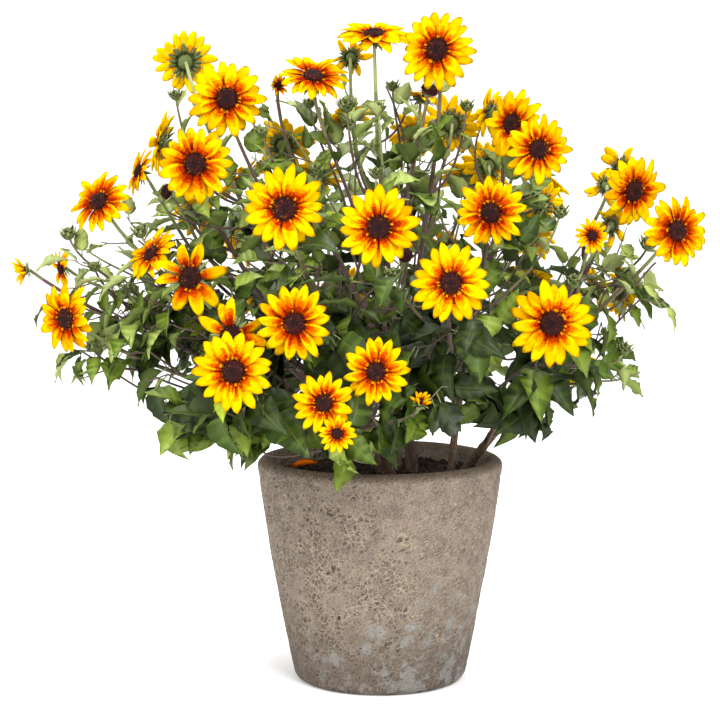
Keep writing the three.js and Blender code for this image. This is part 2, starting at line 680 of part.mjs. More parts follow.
// Grows one mass: blooms, then stalks, then leafy shoots, then leaves.
class Mass {
  constructor(bough, line, seed, crowd, blades) {
    this.owner = bough.name;
    this.seed = seed;
    this.crowd = crowd;
    this.blades = blades;
    this.buds = (bough.buds ?? []).map(([x, y, z, radius]) => (
      { centre: new THREE.Vector3(x, y, z), radius }));
    this.blooms = bloomsOf(bough);
    this.tips = shootsOf(bough, this.blooms);
    this.start = line.getPoint(1).addScaledVector(line.getTangent(1), SEAT_GAP);
    this.heading = line.getTangent(1);
    this.pieces = [];
    this.leafy = [];
    const ends = [...this.blooms, ...this.buds].map((end) => end.centre).concat(this.tips);
    this.outward = middleOf(ends).sub(CROWN_CENTRE).setZ(0).normalize();
    this.reach = Math.max(...ends.map((p) => p.dot(this.outward))) + LEAF_ROOM;
    this.top = Math.max(...ends.map((p) => p.z)) + LEAF_ROOM;
    this.bottom = Math.min(...ends.map((p) => p.z)) - LEAF_HANG;
    for (const bloom of this.blooms) this.keep(bloomSolid(bloom), 'bloom');
  }

  keep(solid, part) {
    this.pieces.push(solid);
    this.crowd.add(pointsOn(solid), this.owner);
    this.blades.add(pointsOn(solid), part);
  }

  // The first way from a parent to what it carries that is clear of the other bodies, bowed more at each try.
  way(parent, at, to, faces) {
    for (let turn = 0; turn < TRIES; turn++) {
      const share = Math.min(at + TRY_STEP * turn, LAST_ROOT);
      const root = parent ? parent.getPoint(share) : this.start;
      const leaving = parent ? branching(parent.getTangent(share), to.clone().sub(root)) : this.heading;
      const bow = around(UP, turn * GOLDEN_ANGLE).multiplyScalar(BOW * turn);
      const curve = stalk(root, leaving, to, faces, bow);
      const points = curve.getSpacedPoints(Math.ceil(curve.getLength() / SAMPLE_STEP));
      if (clearOfPot(points) && this.crowd.isClear(points.slice(parent ? 0 : 2), this.owner)) return curve;
    }
    return null;
  }

  // The stem runs to the furthest bloom, and every other bloom and bud has a stalk that leaves it.
  branch() {
    const order = [...this.blooms].sort((a, b) => (
      b.centre.distanceTo(this.start) - a.centre.distanceTo(this.start)));
    const last = order.shift();
    this.stem = this.way(null, 0, backOf(last), last.facing);
    this.keep(limb(this.stem, taper(BOUGH_TIP_RADIUS, TWIG_TIP_RADIUS), TWIG_SIDES, 5), 'twig');
    this.leafy.push({ curve: this.stem, span: LEAFY.stem });
    order.forEach((bloom, i) => {
      const at = FIRST_STALK + (STALK_SPAN * (i + 0.5)) / order.length;
      const curve = this.way(this.stem, at, backOf(bloom), bloom.facing);
      this.keep(limb(curve, sideTwig(STALK_RADIUS, TWIG_TIP_RADIUS), TWIG_SIDES, 3), 'twig');
      this.leafy.push({ curve, span: LEAFY.stalk });
    });
    this.buds.forEach(({ centre, radius }, i) => {
      const at = FIRST_BUD + BUD_SPAN * chance(this.seed, 40 + i);
      const curve = this.way(this.stem, at, centre, UP);
      if (!curve) return;
      this.keep(limb(curve, sideTwig(SHOOT_RADIUS, SHOOT_TIP_RADIUS), TWIG_SIDES, 2), 'twig');
      this.keep(budSolid(centre, Math.max(radius, BUD_RADIUS)), 'bloom');
      this.leafy.push({ curve, span: LEAFY.bud });
    });
  }

  // Leafy shoots leave the stem one after another and end at their tips.
  shoot() {
    this.tips.forEach((tip, i) => {
      const at = FIRST_SHOOT + (SHOOT_SPAN * (i + 0.5)) / this.tips.length;
      const outward = mix([this.outward, 1], [UP, -SHOOT_SINK]);
      const curve = this.way(this.stem, at, tip, outward);
      if (!curve) return;
      this.keep(limb(curve, sideTwig(SHOOT_RADIUS, SHOOT_TIP_RADIUS), TWIG_SIDES, 2), 'twig');
      this.leafy.push({ curve, span: LEAFY.shoot });
    });
  }

  // True if every point keeps to the mass's own space.
  isWithin(points) {
    return points.every((p) => p.dot(this.outward) < this.reach && p.z < this.top && p.z > this.bottom);
  }

  // A leaf at a place on a twig, or null if it has no room. It hangs more and is larger towards the plant's
  // foot.
  leafAt(curve, share, turn, size, blooms) {
    const ends = share === 1;
    const root = curve.getPoint(share);
    const along = curve.getTangent(share);
    const outward = root.clone().sub(CROWN_CENTRE).normalize();
    const low = THREE.MathUtils.clamp((HANG_TOP - root.z) / HANG_RANGE, 0, 1);
    const spread = ends ? TIP_LEAF_SPREAD : LEAF_SPREAD;
    const blade = mix(
      [around(along, turn), spread], [outward, LEAF_OUTWARD], [along, LEAF_ONWARD],
      [UP, LEAF_LIFT - LEAF_DROOP * low]);
    const normal = mix([UP, FACE_UP], [outward, FACE_OUTWARD], [around(UP, turn), FACE_TURNED]);
    normal.addScaledVector(blade, -normal.dot(blade)).normalize();
    const grown = TOP_LEAF_SHARE + (1 - TOP_LEAF_SHARE) * low;
    const length = size * (ends ? TIP_LEAF_LENGTH : LEAF_LENGTH * grown);
    const solid = leafSolid(root, blade, normal, length);
    const points = pointsOn(solid);
    const free = points.filter((p) => p.distanceTo(root) > ROOT_ROOM);
    const fits = this.isWithin(points) && clearOfPot(points) && clearOfFaces(points, blooms)
      && this.crowd.isClear(points, this.owner) && this.blades.isClear(free, null, BLADE_ROOM);
    return fits ? solid : null;
  }

  // Leaves along every stalk and shoot, each at the first of a few turns that leaves it room.
  leaf(blooms) {
    let turn = 6 * chance(this.seed, 60);
    this.leafy.forEach(({ curve, span: [from, to] }, n) => {
      const count = Math.max(1, Math.round(((to - from) * curve.getLength()) / LEAF_SPACING));
      for (let i = 0; i < count; i++) {
        const share = from + ((to - from) * (i + 1)) / count;
        for (let attempt = 0; attempt < LEAF_TRIES; attempt++) {
          turn += GOLDEN_ANGLE;
          const size = (LEAF_SIZE + LEAF_SIZE_RANGE * chance(this.seed + n, 80 + i))
            * (1 - SMALLER_EACH_TRY * attempt);
          const solid = this.leafAt(curve, share, turn, size, blooms);
          if (solid) {
            this.keep(solid, 'leaf');
            break;
          }
        }
      }
    });
  }

  solid() {
    const whole = Manifold.union(this.pieces).simplify(SMOOTHING);
    return whole.decompose().reduce((most, piece) => (piece.volume() > most.volume() ? piece : most));
  }
}

const sunflower = new THREE.Group();

function place(name, solid, finish) {
  const mesh = new THREE.Mesh(geometryOf(solid), FINISHES[finish]);
  mesh.name = name;
  sunflower.add(mesh);
}

place('pot', pot(), 'pot');
place('soil', soil(), 'soil');

const crowd = new Crowd();
const blades = new Crowd();
const masses = [];
for (const stem of STEMS) {
  const curve = stemCurve(stem);
  const whole = limb(curve, stemRadius(stem), STEM_SIDES, STEM_STEPS);
  place(stem.name, whole.trimByPlane([0, 0, 1], SOIL_TOP + SEAT_GAP), 'stem');
  crowd.add(curve.getSpacedPoints(LIMB_SAMPLES), stem.name, stem.radius);
  const sleeve = limb(curve, stemRadius(stem, SEAT_GAP), STEM_SIDES, STEM_STEPS);
  for (const bough of stem.boughs) {
    const line = boughCurve(stem, bough, bloomsOf(bough));
    const arm = limb(line, taper(BOUGH_FOOT_RADIUS, BOUGH_TIP_RADIUS), BOUGH_SIDES, BOUGH_STEPS);
    place(`${bough.name}_bough`, arm.subtract(sleeve), 'stem');
    crowd.add(line.getSpacedPoints(BOUGH_SAMPLES), `${bough.name}_bough`, BOUGH_FOOT_RADIUS);
    masses.push(new Mass(bough, line, masses.length + 1, crowd, blades));
  }
}
const blooms = masses.flatMap((mass) => mass.blooms);
for (const mass of masses) mass.branch();
for (const mass of masses) mass.shoot();
for (const mass of masses) mass.leaf(blooms);
for (const mass of masses) place(mass.owner, mass.solid(), 'foliage');

export default sunflower;
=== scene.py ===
import logging
from dataclasses import dataclass, field
from enum import Enum, IntEnum
from typing import Any, Mapping, Sequence

import bpy
import numpy as np
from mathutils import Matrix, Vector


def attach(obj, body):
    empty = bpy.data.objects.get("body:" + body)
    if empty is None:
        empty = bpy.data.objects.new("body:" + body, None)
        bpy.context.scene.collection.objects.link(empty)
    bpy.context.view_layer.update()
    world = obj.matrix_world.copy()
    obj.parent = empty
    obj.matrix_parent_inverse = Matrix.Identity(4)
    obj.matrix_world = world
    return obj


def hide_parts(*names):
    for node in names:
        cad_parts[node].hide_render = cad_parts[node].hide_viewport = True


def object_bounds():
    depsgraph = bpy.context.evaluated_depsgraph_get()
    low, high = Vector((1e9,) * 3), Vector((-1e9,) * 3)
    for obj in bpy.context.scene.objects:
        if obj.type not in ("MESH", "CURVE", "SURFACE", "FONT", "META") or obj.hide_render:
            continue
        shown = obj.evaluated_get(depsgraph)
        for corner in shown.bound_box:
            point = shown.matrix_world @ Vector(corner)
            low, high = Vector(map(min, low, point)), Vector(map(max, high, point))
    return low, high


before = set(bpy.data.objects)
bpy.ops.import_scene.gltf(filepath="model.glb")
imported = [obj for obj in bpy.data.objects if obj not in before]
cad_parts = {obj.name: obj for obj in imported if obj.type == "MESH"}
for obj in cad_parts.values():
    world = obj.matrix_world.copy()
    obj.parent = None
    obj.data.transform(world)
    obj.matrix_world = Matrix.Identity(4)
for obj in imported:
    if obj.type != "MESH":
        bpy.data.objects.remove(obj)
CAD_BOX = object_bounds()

Array = np.ndarray
LOG = logging.getLogger("sunflower")

MM = 0.001
SEED = 5
GOLDEN_ANGLE = 2.39996
UP = np.array([0.0, 0.0, 1.0])
RIGHT = np.array([1.0, 0.0, 0.0])
CROWN_CENTRE = np.array([20.0, 0.0, 330.0])
BOX = np.array([list(corner) for corner in CAD_BOX]) / MM
FALLEN_PETAL = np.array([-104.0, 8.0, 243.0])

# The pot's sizes, in millimetres, as in the solids
RIM_RADIUS = 142.0
FOOT_RADIUS = 97.5
POT_HEIGHT = 257.0
WALL_BULGE = 3.0
FOOT_ROUNDING = 11.0
WALL = 18.0
FLOOR = 24.0
SOIL_TOP = POT_HEIGHT - 18.0

# The growth rule's shares, as in the solids
FLARE, FLARE_SHARE, STEM_TAPER = 0.55, 0.07, 0.28
STEM_BENDS = ((0.25, 0.08), (0.7, 0.04))
BOUGH_SHARE, BOUGH_SET_OUT, BOUGH_RUN_IN = 0.2, 0.3, 0.35
BOUGH_FOOT_RADIUS, BOUGH_TIP_RADIUS = 3.6, 2.7
TWIG_TIP_RADIUS, STALK_RADIUS = 1.5, 1.8
SHOOT_RADIUS, SHOOT_TIP_RADIUS = 1.4, 1.0
BRANCHING_ONWARD = 0.5
STALK_SET_OUT, NECK_LENGTH = 0.36, 0.3
FIRST_STALK, STALK_SPAN = 0.16, 0.4
FIRST_BUD, BUD_SPAN = 0.3, 0.3
FIRST_SHOOT, SHOOT_SPAN, SHOOT_SINK = 0.08, 0.6, 0.3
SHOOT_DROP, SHOOT_DROP_RANGE, SHOOT_SET_BACK, SHOOT_ASIDE = 38.0, 34.0, 34.0, 30.0
SEAT_GAP = 0.3
LEAF_ROOM, LEAF_HANG = 12.0, 84.0

# Leaves hang more and more over this range of heights below its top. None comes this near before a bloom.
HANG_TOP, HANG_RANGE = 620.0, 320.0
VIEW_DEPTH = 60.0

# The hem of the hanging leaves: its height at the left, at the right and over the rim, its rises at the
# left and the right with the distances from the pot's axis between which each comes in, and its wave
HEM_LEFT, HEM_RIGHT, HEM_FRONT = 262.0, 282.0, 291.0
HEM_LEFT_RISES = ((34.0, 150.0, 168.0), (-30.0, 184.0, 202.0), (66.0, 220.0, 250.0))
HEM_RIGHT_RISES = ((46.0, 168.0, 212.0),)
HEM_WAVE, HEM_WAVE_LENGTH = 10.0, 19.0

# The span of its own length over which a stem, a bloom's stalk, a bud's stalk and a shoot have leaves
LEAFY_STEM, LEAFY_STALK, LEAFY_BUD, LEAFY_SHOOT = (0.06, 0.8), (0.15, 0.8), (0.3, 0.9), (0.15, 1.0)
LEAST_BUD = 6.5

# A twig's tones run from brown to pale green. With a bloom and without one: how thick its down is and how
# many tones it gains along its length. It gains one more for each GREEN_RANGE of height over GREEN_FROM,
# and a share of the twigs are browner by so many tones.
FLOWERING_TWIG, LEAFY_TWIG = (0.25, 2.6), (0.1, 2.0)
GREEN_FROM, GREEN_RANGE = 420.0, 260.0
BROWNER, BROWNER_SHARE = 1.6, 0.45

# Four faces round a point, the fifth of five corners
PYRAMID = np.array([[0, 1, 4], [1, 2, 4], [2, 3, 4], [3, 0, 4]])


class Kind(Enum):
    """How far a bloom has come."""

    OPEN = "open"
    FEW = "few"
    HALF = "half"
    SPENT = "spent"


@dataclass(frozen=True)
class Ring:
    """Blooms set round a heart by rule."""

    heart: tuple[float, float, float]
    count: int
    spread: float
    across: float


@dataclass(frozen=True)
class BoughPlan:
    """A bough's place on its stem, from 0 at the soil to 1 at the head, and what its mass carries."""

    name: str
    at: float
    blooms: tuple = ()
    buds: tuple = ()
    shoots: tuple = ()
    ring: Ring | None = None


@dataclass(frozen=True)
class StemPlan:
    """A stem's foot and head, its radius at the soil and its boughs."""

    name: str
    foot: tuple[float, float]
    head: tuple[float, float, float]
    radius: float
    boughs: tuple[BoughPlan, ...]


# Blooms are (right, away, up, across, turn, tilt, kind), buds (right, away, up, radius), and shoots the
# (right, away, up) of their tips. Turn is degrees from the front towards the right, tilt is degrees up.
STEMS = (
    StemPlan("main_stem", (39, 6), (24, 16, 350), 6.5, (
        BoughPlan(
            "top_left", 0.55,
            blooms=(
                (-75, -40, 689, 78, 10, 52), (-115, -20, 680, 29, 20, 10, Kind.HALF),
                (-110, 20, 614, 70, 170, 20),
            ),
            buds=((-131, -60, 628, 6), (-80, 0, 661, 5)),
            shoots=((-102, -20, 628), (-147, -10, 642), (-77, -40, 595), (-46, 0, 608)),
        ),
        BoughPlan("back_top", 0.7, ring=Ring((20, 150, 640), 3, 58, 78)),
        BoughPlan(
            "top_right", 0.84,
            blooms=(
                (62, -60, 718, 88, -18, 0), (54, -40, 674, 25, 30, 48, Kind.SPENT),
                (82, 40, 638, 70, 190, 0),
            ),
            buds=((98, 0, 658, 7),),
            shoots=((35, -40, 614), (82, 10, 620), (107, 20, 645), (54, -60, 586)),
        ),
        BoughPlan(
            "top", 1,
            blooms=((-33, 25, 714, 50, 170, 15, Kind.FEW), (-7, -20, 736, 90, 0, 68)),
            buds=((-38, -30, 658, 9), (-2, -45, 655, 7), (14, 0, 680, 6)),
            shoots=((-39, 0, 674), (6, -10, 680), (-21, -20, 631), (27, 0, 656)),
        ),
    )),
    StemPlan("left_stem", (8, -4), (-54, -12, 330), 6, (
        BoughPlan(
            "far_left_low", 0.42,
            blooms=((-347, -80, 423, 80, -35, -5),),
            buds=((-322, -60, 390, 7),),
            shoots=(
                (-336, -60, 386), (-300, -40, 377), (-358, -40, 445), (-254, -90, 387), (-283, -75, 365),
            ),
        ),
        BoughPlan(
            "far_left", 0.57,
            blooms=((-402, -20, 473, 38, -70, -10, Kind.HALF), (-365, 10, 474, 48, -60, -5, Kind.FEW)),
            buds=((-350, -40, 515, 8), (-318, -60, 479, 6)),
            shoots=((-340, 0, 499), (-312, -10, 448), (-360, 10, 481)),
        ),
        BoughPlan(
            "left", 0.71,
            blooms=((-312, -60, 551, 74, -25, 25), (-252, -80, 494, 68, -50, 35)),
            buds=((-267, -60, 518, 8), (-283, -60, 454, 6)),
            shoots=((-294, -40, 501), (-298, -70, 429), (-253, -100, 445), (-273, -60, 470)),
        ),
        BoughPlan(
            "left_upper", 0.86,
            blooms=(
                (-245, -30, 616, 76, -98, 12), (-273, -5, 584, 58, -65, 20),
                (-238, -40, 562, 22, -50, 10, Kind.SPENT), (-215, 60, 534, 64, 150, 30),
            ),
            shoots=((-276, 0, 506), (-215, -20, 509), (-203, 40, 534)),
        ),
        BoughPlan(
            "left_top", 1,
            blooms=(
                (-225, 45, 710, 74, -165, 10), (-170, -60, 664, 86, 6, 10), (-200, -120, 593, 86, -6, 0),
            ),
            buds=((-232, 0, 670, 6),),
            shoots=((-138, -20, 631), (-236, -60, 540), (-164, 0, 608)),
        ),
    )),
    StemPlan("front_stem", (16, -44), (-20, -84, 330), 5.6, (
        BoughPlan(
            "front_low", 0.4,
            blooms=(
                (-7, -292, 387, 68, 0, 0), (-59, -306, 357, 62, 0, 8), (-46, -312, 327, 40, 5, 15),
                (39, -240, 349, 28, 10, 60, Kind.HALF),
            ),
            shoots=((-131, -110, 279), (-32, -170, 288), (-75, -210, 317), (2, -180, 302), (45, -190, 351)),
        ),
        BoughPlan(
            "front_low_left", 0.55,
            blooms=((-156, -225, 417, 76, 0, 0, Kind.FEW), (-149, -300, 388, 82, -5, 8)),
            shoots=(
                (-203, -200, 343), (-168, -250, 345), (-145, -220, 323), (-227, -170, 371),
                (-186, -200, 305), (-110, -180, 300),
            ),
        ),
        BoughPlan(
            "front_left", 0.7,
            blooms=((-203, -170, 474, 82, 10, 0, Kind.FEW), (-89, -272, 434, 78, 0, -5)),
            shoots=((-157, -150, 453), (-196, -130, 412), (-67, -200, 415), (-139, -180, 398)),
        ),
        BoughPlan(
            "front_upper", 0.85,
            blooms=((-4, -262, 530, 84, 0, 0), (24, -195, 499, 20, 0, 0, Kind.SPENT)),
            buds=((-6, -120, 583, 7),),
            shoots=((-39, -180, 461), (-7, -170, 423), (21, -190, 446), (-53, -160, 396)),
        ),
        BoughPlan(
            "front_upper_left", 1,
            blooms=((-100, -232, 548, 88, 0, 0),),
            buds=((-72, -60, 586, 5),),
            shoots=(
                (-144, -70, 580), (-86, -90, 556), (-64, -100, 541), (-124, -140, 508), (-63, -170, 484),
            ),
        ),
    )),
    StemPlan("green_stem", (78, -52), (88, -70, 340), 4.6, (
        BoughPlan(
            "front_right", 0.55,
            blooms=((68, -272, 474, 80, 5, 8),),
            buds=((12, -200, 480, 7),),
            shoots=((73, -170, 384), (95, -150, 400), (117, -170, 423), (52, -200, 405), (58, -120, 340)),
        ),
        BoughPlan(
            "front_right_upper", 0.78,
            blooms=((115, -165, 542, 76, 0, 0),),
            buds=((201, -40, 539, 8),),
            shoots=((88, -110, 539), (132, -140, 482), (152, -90, 499), (65, -80, 554)),
        ),
        BoughPlan(
            "right_top", 1,
            blooms=(
                (147, -45, 637, 78, -38, 5), (171, -95, 609, 76, 10, -5), (125, 20, 651, 60, -120, 10),
                (126, 60, 590, 62, 190, 0), (184, 5, 548, 56, 160, 0),
            ),
            shoots=((189, -20, 547), (134, -40, 536), (114, 20, 631)),
        ),
    )),
    StemPlan("right_stem", (92, 10), (164, 6, 318), 5.4, (
        BoughPlan(
            "right_low", 0.45,
            blooms=((177, -202, 428, 90, 0, 0),),
            buds=((212, -80, 464, 9), (272, -60, 387, 8)),
            shoots=(
                (136, -110, 334), (173, -120, 346), (205, -120, 372), (246, -70, 358), (293, -40, 359),
                (163, -60, 309), (108, -120, 337),
            ),
        ),
        BoughPlan("back_right_low", 0.6, ring=Ring((225, 165, 410), 3, 64, 74)),
        BoughPlan(
            "far_right", 0.8,
            blooms=(
                (324, -85, 520, 82, 25, 5), (232, -80, 514, 40, 10, 10),
                (262, -20, 523, 48, 140, 0, Kind.FEW), (282, 35, 447, 64, 120, -10),
            ),
            buds=((300, -40, 504, 9),),
            shoots=((292, -40, 441), (267, -20, 489), (306, -60, 484), (240, 0, 455)),
        ),
        BoughPlan(
            "right_upper", 1,
            blooms=(
                (283, -35, 563, 84, 30, -10), (279, 40, 588, 60, 185, 25, Kind.FEW),
                (258, 18, 566, 50, 200, -20, Kind.FEW),
            ),
            shoots=((252, 10, 526), (228, 20, 510), (208, 30, 568)),
        ),
    )),
    StemPlan("back_stem", (22, 48), (10, 104, 330), 5.8, (
        BoughPlan("back_low_left", 0.45, ring=Ring((-180, 175, 400), 3, 64, 74)),
        BoughPlan("back_middle", 0.62, ring=Ring((20, 262, 445), 4, 74, 80)),
        BoughPlan("back_left", 0.82, ring=Ring((-130, 190, 545), 3, 62, 80)),
        BoughPlan("back_right", 1, ring=Ring((160, 190, 545), 3, 60, 80)),
    )),
)


def chance(key: float, turn: float) -> float:
    """A number from 0 to 1 that is always the same: the fraction of a large sine of both keys."""
    return float(np.modf(np.modf(np.sin(key * 12.9898 + turn * 78.233) * 43758.5453)[0] + 1.0)[0])


def unit(vectors: Array) -> Array:
    """Vectors divided by their lengths."""
    return vectors / np.maximum(np.linalg.norm(vectors, axis=-1, keepdims=True), 1e-9)


def mix(*pairs: tuple[Array, Any]) -> Array:
    """Directions added up by their shares and brought to length one.

    Args:
        pairs: each a direction, or one a row, with its share, or one a row.

    Returns:
        The mixed directions.
    """
    total = sum(np.asarray(v) * np.asarray(share, float)[..., None] for v, share in pairs)
    return unit(total)


def square_to(along: Array) -> tuple[Array, Array]:
    """Two directions square to one: its cross with up, or with right where it is steep, and their cross.

    Args:
        along: a direction, or one a row.

    Returns:
        The two directions, or two a row.
    """
    steep = np.abs(along[..., 2:3]) >= 0.85
    side = unit(np.cross(along, np.where(steep, RIGHT, UP)))
    return side, np.cross(side, along)


def around(along: Array, angle: Any) -> Array:
    """A direction square to another: cosine of one side and sine of the other.

    Args:
        along: a direction, or one a row.
        angle: the turn about it, or one a row.

    Returns:
        The direction, or one a row.
    """
    side, other = square_to(along)
    turned = np.asarray(angle, float)[..., None]
    return side * np.cos(turned) + other * np.sin(turned)


def branching(rising: Array, chord: Array) -> Array:
    """The way a side limb sets out: square to its parent at first, and on towards its end.

    Args:
        rising: the way its parent runs.
        chord: from its foot to its end.

    Returns:
        The direction at its foot.
    """
    heading = unit(chord)
    sideways = unit(heading - rising * float(heading @ rising))
    return mix((sideways, 1), (heading, BRANCHING_ONWARD))


def facing(turn: float, tilt: float) -> Array:
    """The way a bloom faces, from its turn and tilt in degrees, as a point on a sphere."""
    yaw, pitch = np.radians(turn), np.radians(tilt)
    return np.array([np.sin(yaw) * np.cos(pitch), -np.cos(yaw) * np.cos(pitch), np.sin(pitch)])


def pot_radius(height: Array | float) -> Array | float:
    """The pot's outer radius at a height: an even slope and half a sine of bulge."""
    share = np.asarray(height, float) / POT_HEIGHT
    return FOOT_RADIUS + (RIM_RADIUS - FOOT_RADIUS) * share + WALL_BULGE * np.sin(np.pi * share)


def circle(count: int) -> Array:
    """Angles evenly round a full turn."""
    return np.arange(count) * 2 * np.pi / count


def revolve(line: Array, around_count: int) -> tuple[Array, Array]:
    """A profile turned about the upright axis: its radius along a level ray, and its height.

    Args:
        line: radii and heights, as (rows, 2).
        around_count: places in a turn.

    Returns:
        The points, as (rows, around_count, 3), and the level ray at each place in the turn.
    """
    angle = circle(around_count)
    ray = np.stack([np.cos(angle), np.sin(angle), np.zeros_like(angle)], 1)
    return line[:, None, :1] * ray[None] + UP * line[:, None, 1:], ray


def risen(height: float, rises: Sequence[tuple], far: Array) -> Array:
    """A height that is changed by soft steps of a distance.

    Args:
        height: the height at the middle.
        rises: each a rise with the distances between which it comes in.
        far: the distances.

    Returns:
        The height at each.
    """
    for rise, near, away in rises:
        height = height + rise * smooth(far, near, away)
    return height


def skirt(points: Array) -> Array:
    """The height that leaves keep above: the hem of the hanging leaves.

    It is low beside the pot and higher far out, and over the rim before the pot. Each change is a soft
    step of the distance from the pot's axis or of the place across. A wave leaves gaps between those that
    hang.

    Args:
        points: places, in millimetres.

    Returns:
        A height for each.
    """
    x, y = points[..., 0], points[..., 1]
    far = np.hypot(x, np.maximum(y, 0.0))
    left, right = risen(HEM_LEFT, HEM_LEFT_RISES, far), risen(HEM_RIGHT, HEM_RIGHT_RISES, far)
    beside = left + smooth(x, -40.0, 120.0) * (right - left)
    before = smooth(-y, 20.0, 90.0) * (1 - smooth(np.abs(x + 2.0), 128.0, 150.0))
    front = HEM_FRONT + 12.0 * smooth(x, 30.0, 60.0)
    over = np.hypot(x, y) < RIM_RADIUS + 8.0
    height = np.where(over, POT_HEIGHT + 24.0, beside + before * (front - beside))
    return height + HEM_WAVE * np.sin(x / HEM_WAVE_LENGTH)


def hanging(points: Array) -> Array:
    """How low places are in the crown, evenly from 0 where leaves begin to hang to 1 where all do."""
    return np.clip((HANG_TOP - points[:, 2]) / HANG_RANGE, 0, 1)


def outlying(points: Array) -> Array:
    """How far places lie out to the crown's left or right: a soft step from 0 to 1."""
    return smooth(np.abs(points[:, 0] + 20.0), 160.0, 280.0)


def smooth(value: Array, low: float, high: float) -> Array:
    """A soft step from 0 at low to 1 at high: the cubic 3t2 - 2t3."""
    t = np.clip((value - low) / (high - low), 0.0, 1.0)
    return t * t * (3.0 - 2.0 * t)


def lumps(points: Array, cell: float, seed: float) -> Array:
    """Soft noise from 0 to 1: a fixed number at each corner of a grid, blended by soft steps.

    Args:
        points: places, in millimetres.
        cell: the grid's pitch.
        seed: picks one pattern of many.

    Returns:
        A number for each place.
    """
    scaled = points / cell
    base = np.floor(scaled)
    t = smooth(scaled - base, 0.0, 1.0)
    total = np.zeros(points.shape[:-1])
    for n in range(8):
        corner = np.array([n & 1, (n >> 1) & 1, n >> 2], float)
        at = base + corner
        wave = np.sin(at @ np.array([127.1, 311.7, 74.7]) + seed * 17.3) * 43758.5453
        total += (wave - np.floor(wave)) * np.prod(np.where(corner > 0, t, 1.0 - t), axis=-1)
    return total


@dataclass(frozen=True)
class Line:
    """A cubic Bezier line through space, in millimetres."""

    knots: Array

    def at(self, share: Any) -> Array:
        """The point or points at a share of its parameter.

        Args:
            share: the share, or a row of shares.

        Returns:
            The point, or one a row.
        """
        t = np.asarray(share, float)[..., None]
        a, b, c, d = self.knots
        return a * (1 - t) ** 3 + b * 3 * t * (1 - t) ** 2 + c * 3 * t * t * (1 - t) + d * t**3

    def tangent(self, share: Any) -> Array:
        """Its direction at a share: the derivative, brought to length one.

        Args:
            share: the share, or a row of shares.

        Returns:
            The direction, or one a row.
        """
        t = np.asarray(share, float)[..., None]
        a, b, c, d = self.knots
        return unit((b - a) * (1 - t) ** 2 + (c - b) * 2 * t * (1 - t) + (d - c) * t * t)

    def length(self) -> float:
        """The sum of its chords."""
        points = self.at(np.linspace(0, 1, 24))
        return float(np.linalg.norm(np.diff(points, axis=0), axis=1).sum())


@dataclass(frozen=True)
class Bloom:
    """A bloom's centre, the way it faces, its breadth in millimetres and its kind."""

    centre: Array
    faces: Array
    across: float
    kind: Kind

    @property
    def back(self) -> Array:
        """Where its stalk ends."""
        return self.centre - self.faces * (0.06 * self.across + 2)

    @property
    def disc(self) -> float:
        """The radius of its disc: a share of the bloom's own radius."""
        share = 0.8 if self.kind is Kind.SPENT else 0.29
        return max(self.across / 2 * share, 4.5)


def stem_line(stem: StemPlan) -> Line:
    """A stem's centre line, from under the soil to its head, its inner knots lifted a little.

    Args:
        stem: the stem.

    Returns:
        The line.
    """
    foot = np.array([*stem.foot, SOIL_TOP - 2 * stem.radius])
    head = np.array(stem.head, float)
    inner = [foot + (head - foot) * share + UP * lift * (head - foot)[2] for share, lift in STEM_BENDS]
    return Line(np.array([foot, *inner, head]))


def blooms_of(bough: BoughPlan) -> list[Bloom]:
    """A bough's blooms: its list, or rays round its ring's heart that turn a little away from it.

    Args:
        bough: the bough.

    Returns:
        The blooms.
    """
    if bough.ring is None:
        return [
            Bloom(np.array([x, y, z], float), facing(turn, tilt), across, kind[0] if kind else Kind.OPEN)
            for x, y, z, across, turn, tilt, *kind in bough.blooms
        ]
    heart = np.array(bough.ring.heart, float)
    outward = unit(heart - CROWN_CENTRE)
    found = []
    for i in range(bough.ring.count):
        ray = around(outward, i * 2 * np.pi / bough.ring.count + 0.5)
        centre = heart + ray * bough.ring.spread + outward * 22 * chance(bough.ring.count, i)
        found.append(Bloom(centre, mix((outward, 1), (ray, 0.5), (UP, 0.15)), bough.ring.across, Kind.OPEN))
    return found


def shoots_of(bough: BoughPlan, blooms: Sequence[Bloom]) -> list[Array]:
    """The tips of a bough's leafy shoots: its list, or two under and behind each bloom of its ring.

    Args:
        bough: the bough.
        blooms: its blooms.

    Returns:
        The tips.
    """
    if bough.ring is None:
        return [np.array(tip, float) for tip in bough.shoots]
    return [
        bloom.centre - UP * (SHOOT_DROP + SHOOT_DROP_RANGE * chance(i, n)) - bloom.faces * SHOOT_SET_BACK
        + around(UP, 6 * chance(i, 5 + n)) * SHOOT_ASIDE
        for i, bloom in enumerate(blooms)
        for n in range(2)
    ]


def stalk(start: Array, leaving: Array, end: Array, faces: Array) -> Line:
    """A stalk: out of its parent one way, and bent at the neck into the back of what it carries.

    Args:
        start: its foot.
        leaving: the way it sets out.
        end: its tip.
        faces: the way that what it carries looks.

    Returns:
        Its centre line.
    """
    length = float(np.linalg.norm(end - start))
    neck = mix((faces, 0.6), (UP, 0.7), (unit(end - start), 0.5))
    knots = start, start + leaving * STALK_SET_OUT * length, end - neck * NECK_LENGTH * length, end
    return Line(np.array(knots))


